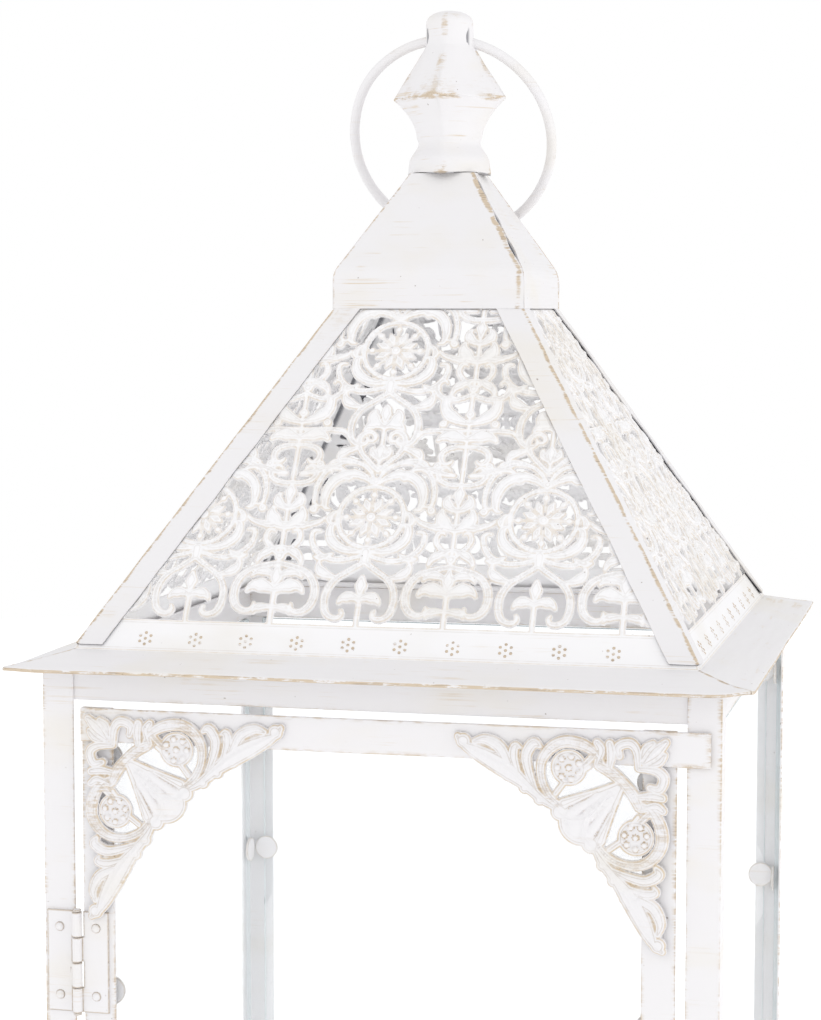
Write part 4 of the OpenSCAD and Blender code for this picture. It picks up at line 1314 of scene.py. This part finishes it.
def build_glass(name, node, body):
    """A pane with ground edges: clear faces, grey-green rim."""
    lo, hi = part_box(node)
    chamfer, rows = 0.35 * MM, 24
    thin = min(range(3), key=lambda k: hi[k] - lo[k])
    a, b = [k for k in range(3) if k != thin]
    levels = [(chamfer, lo[thin]), (0, lo[thin] + chamfer), (0, hi[thin] - chamfer),
              (chamfer, hi[thin])]
    pts = []
    for inset, level in levels:
        x0, x1, y0, y1 = lo[a] + inset, hi[a] - inset, lo[b] + inset, hi[b] - inset
        corners = ((x0, y0), (x1, y0), (x1, y1), (x0, y1), (x0, y0))
        for (p0, q0), (p1, q1) in zip(corners, corners[1:]):
            for k in range(rows):
                p, q = p0 + (p1 - p0) * k / rows, q0 + (q1 - q0) * k / rows
                chip = 0.12 * MM * shake(p * 160, q * 160, level * 90)
                point = [level] * 3
                point[a], point[b] = p + chip, q + chip
                pts.append(point)
    faces = loop_faces(len(levels), 4 * rows)
    if thin == 1:
        faces = [f[::-1] for f in faces]
    add_piece(name, pts, faces, [GLASS, EDGE], [node], body=body,
              face_material=[1] * (len(faces) - 2) + [0, 0], crease=20)


# ------------------------------------------------------------ frame nodes that stay

def paint_frame_nodes():
    """Paint for the frame's own fittings, and steel for the finial's screw and washer."""
    for name, node in frame["nodes"].items():
        if node.hide_render:
            continue
        material = STEEL if name in ("finial_screw", "finial_washer") else FITTINGS
        if not node.data.materials:
            node.data.materials.append(material)
        for slot in node.material_slots:
            slot.link = "OBJECT"
            slot.material = material


# ------------------------------------------------------------ studio

CAMERA_PLACE, CAMERA_LENS = (0.21597, -0.94774, 0.52487), 85.17
CAMERA_LEFT, CAMERA_DOWN = math.radians(13.755), math.radians(4.727)
LIGHTS_AIM = (0, 0, 0.35)
# name, place, width in metres, watts
LIGHTS = (("key", (-1.5, -1.7, 1.9), 1.5, 7),
          ("front", (0.35, -2.4, 0.55), 1.7, 0.8),
          ("right", (2.3, -0.5, 0.9), 1.7, 10))
ROOM_COLOUR, ROOM_STRENGTH = (0.985, 0.99, 1, 1), 0.98
FLOOR_REACH, FLOOR_DROP, FLOOR_GLOW = 3.2, 0.2 * MM, 0.26


def aimed(name, data, place, direction):
    """An object at a place, looking along a direction."""
    holder = add_object(name, data)
    holder.location = place
    holder.rotation_euler = Vector(direction).to_track_quat("-Z", "Y").to_euler()
    return holder


def build_camera():
    camera = bpy.data.cameras.new("camera")
    camera.lens, camera.sensor_width = CAMERA_LENS, 36
    camera.clip_start, camera.clip_end = 0.05, 60
    level = math.cos(CAMERA_DOWN)
    direction = (-math.sin(CAMERA_LEFT) * level, math.cos(CAMERA_LEFT) * level,
                 -math.sin(CAMERA_DOWN))
    bpy.context.scene.camera = aimed("camera", camera, CAMERA_PLACE, direction)


def build_studio():
    """A bright even room, three soft lights, and a white floor that glows a little."""
    scene = bpy.context.scene
    scene.view_settings.view_transform = "Standard"
    for name, place, size, power in LIGHTS:
        light = bpy.data.lights.new(name, "AREA")
        light.size, light.energy = size, power
        aimed(name, light, place, Vector(LIGHTS_AIM) - Vector(place))
    world = bpy.data.worlds.new("white_room")
    world.use_nodes = True
    tree = world.node_tree
    tree.nodes.clear()
    path = tree.nodes.new("ShaderNodeLightPath")
    mixer = tree.nodes.new("ShaderNodeMixShader")
    out = tree.nodes.new("ShaderNodeOutputWorld")
    for socket, colour, strength in ((1, ROOM_COLOUR, ROOM_STRENGTH), (2, (1, 1, 1, 1), 1.0)):
        side = tree.nodes.new("ShaderNodeBackground")
        side.inputs["Color"].default_value = colour
        side.inputs["Strength"].default_value = strength
        tree.links.new(side.outputs[0], mixer.inputs[socket])
    tree.links.new(path.outputs["Is Camera Ray"], mixer.inputs[0])
    tree.links.new(mixer.outputs[0], out.inputs["Surface"])
    scene.world = world
    g = Graph("studio_floor")
    mottle = g.noise((3, 3, 3), 3)
    tone = g.mix(g.step(mottle, 0.3, 0.7), (0.93, 0.93, 0.93, 1), (0.96, 0.96, 0.96, 1))
    mesh = bpy.data.meshes.new("floor")
    mesh.from_pydata([(FLOOR_REACH * c, FLOOR_REACH * s, cad_box[0][2] - FLOOR_DROP)
                      for c, s in unit_circle(64)], [], [list(range(64))])
    mesh.materials.append(g.surface(Base_Color=tone, Roughness=0.9, Emission_Strength=FLOOR_GLOW,
                                    Emission_Color=(1, 1, 1, 1)))
    add_object("floor", mesh)


build_camera()
build_studio()
build_base()
build_eave()
build_bars()
build_floor_plate()
build_roof_panels()
build_hip_strips()
build_cap()
build_finial()
build_ring()
build_spandrels()
for pane in ("left", "right", "back"):
    build_glass(f"pane_{pane}", f"glass_pane_{pane}", "frame")
build_glass("door_pane", "door_glass", "door")
paint_frame_nodes()
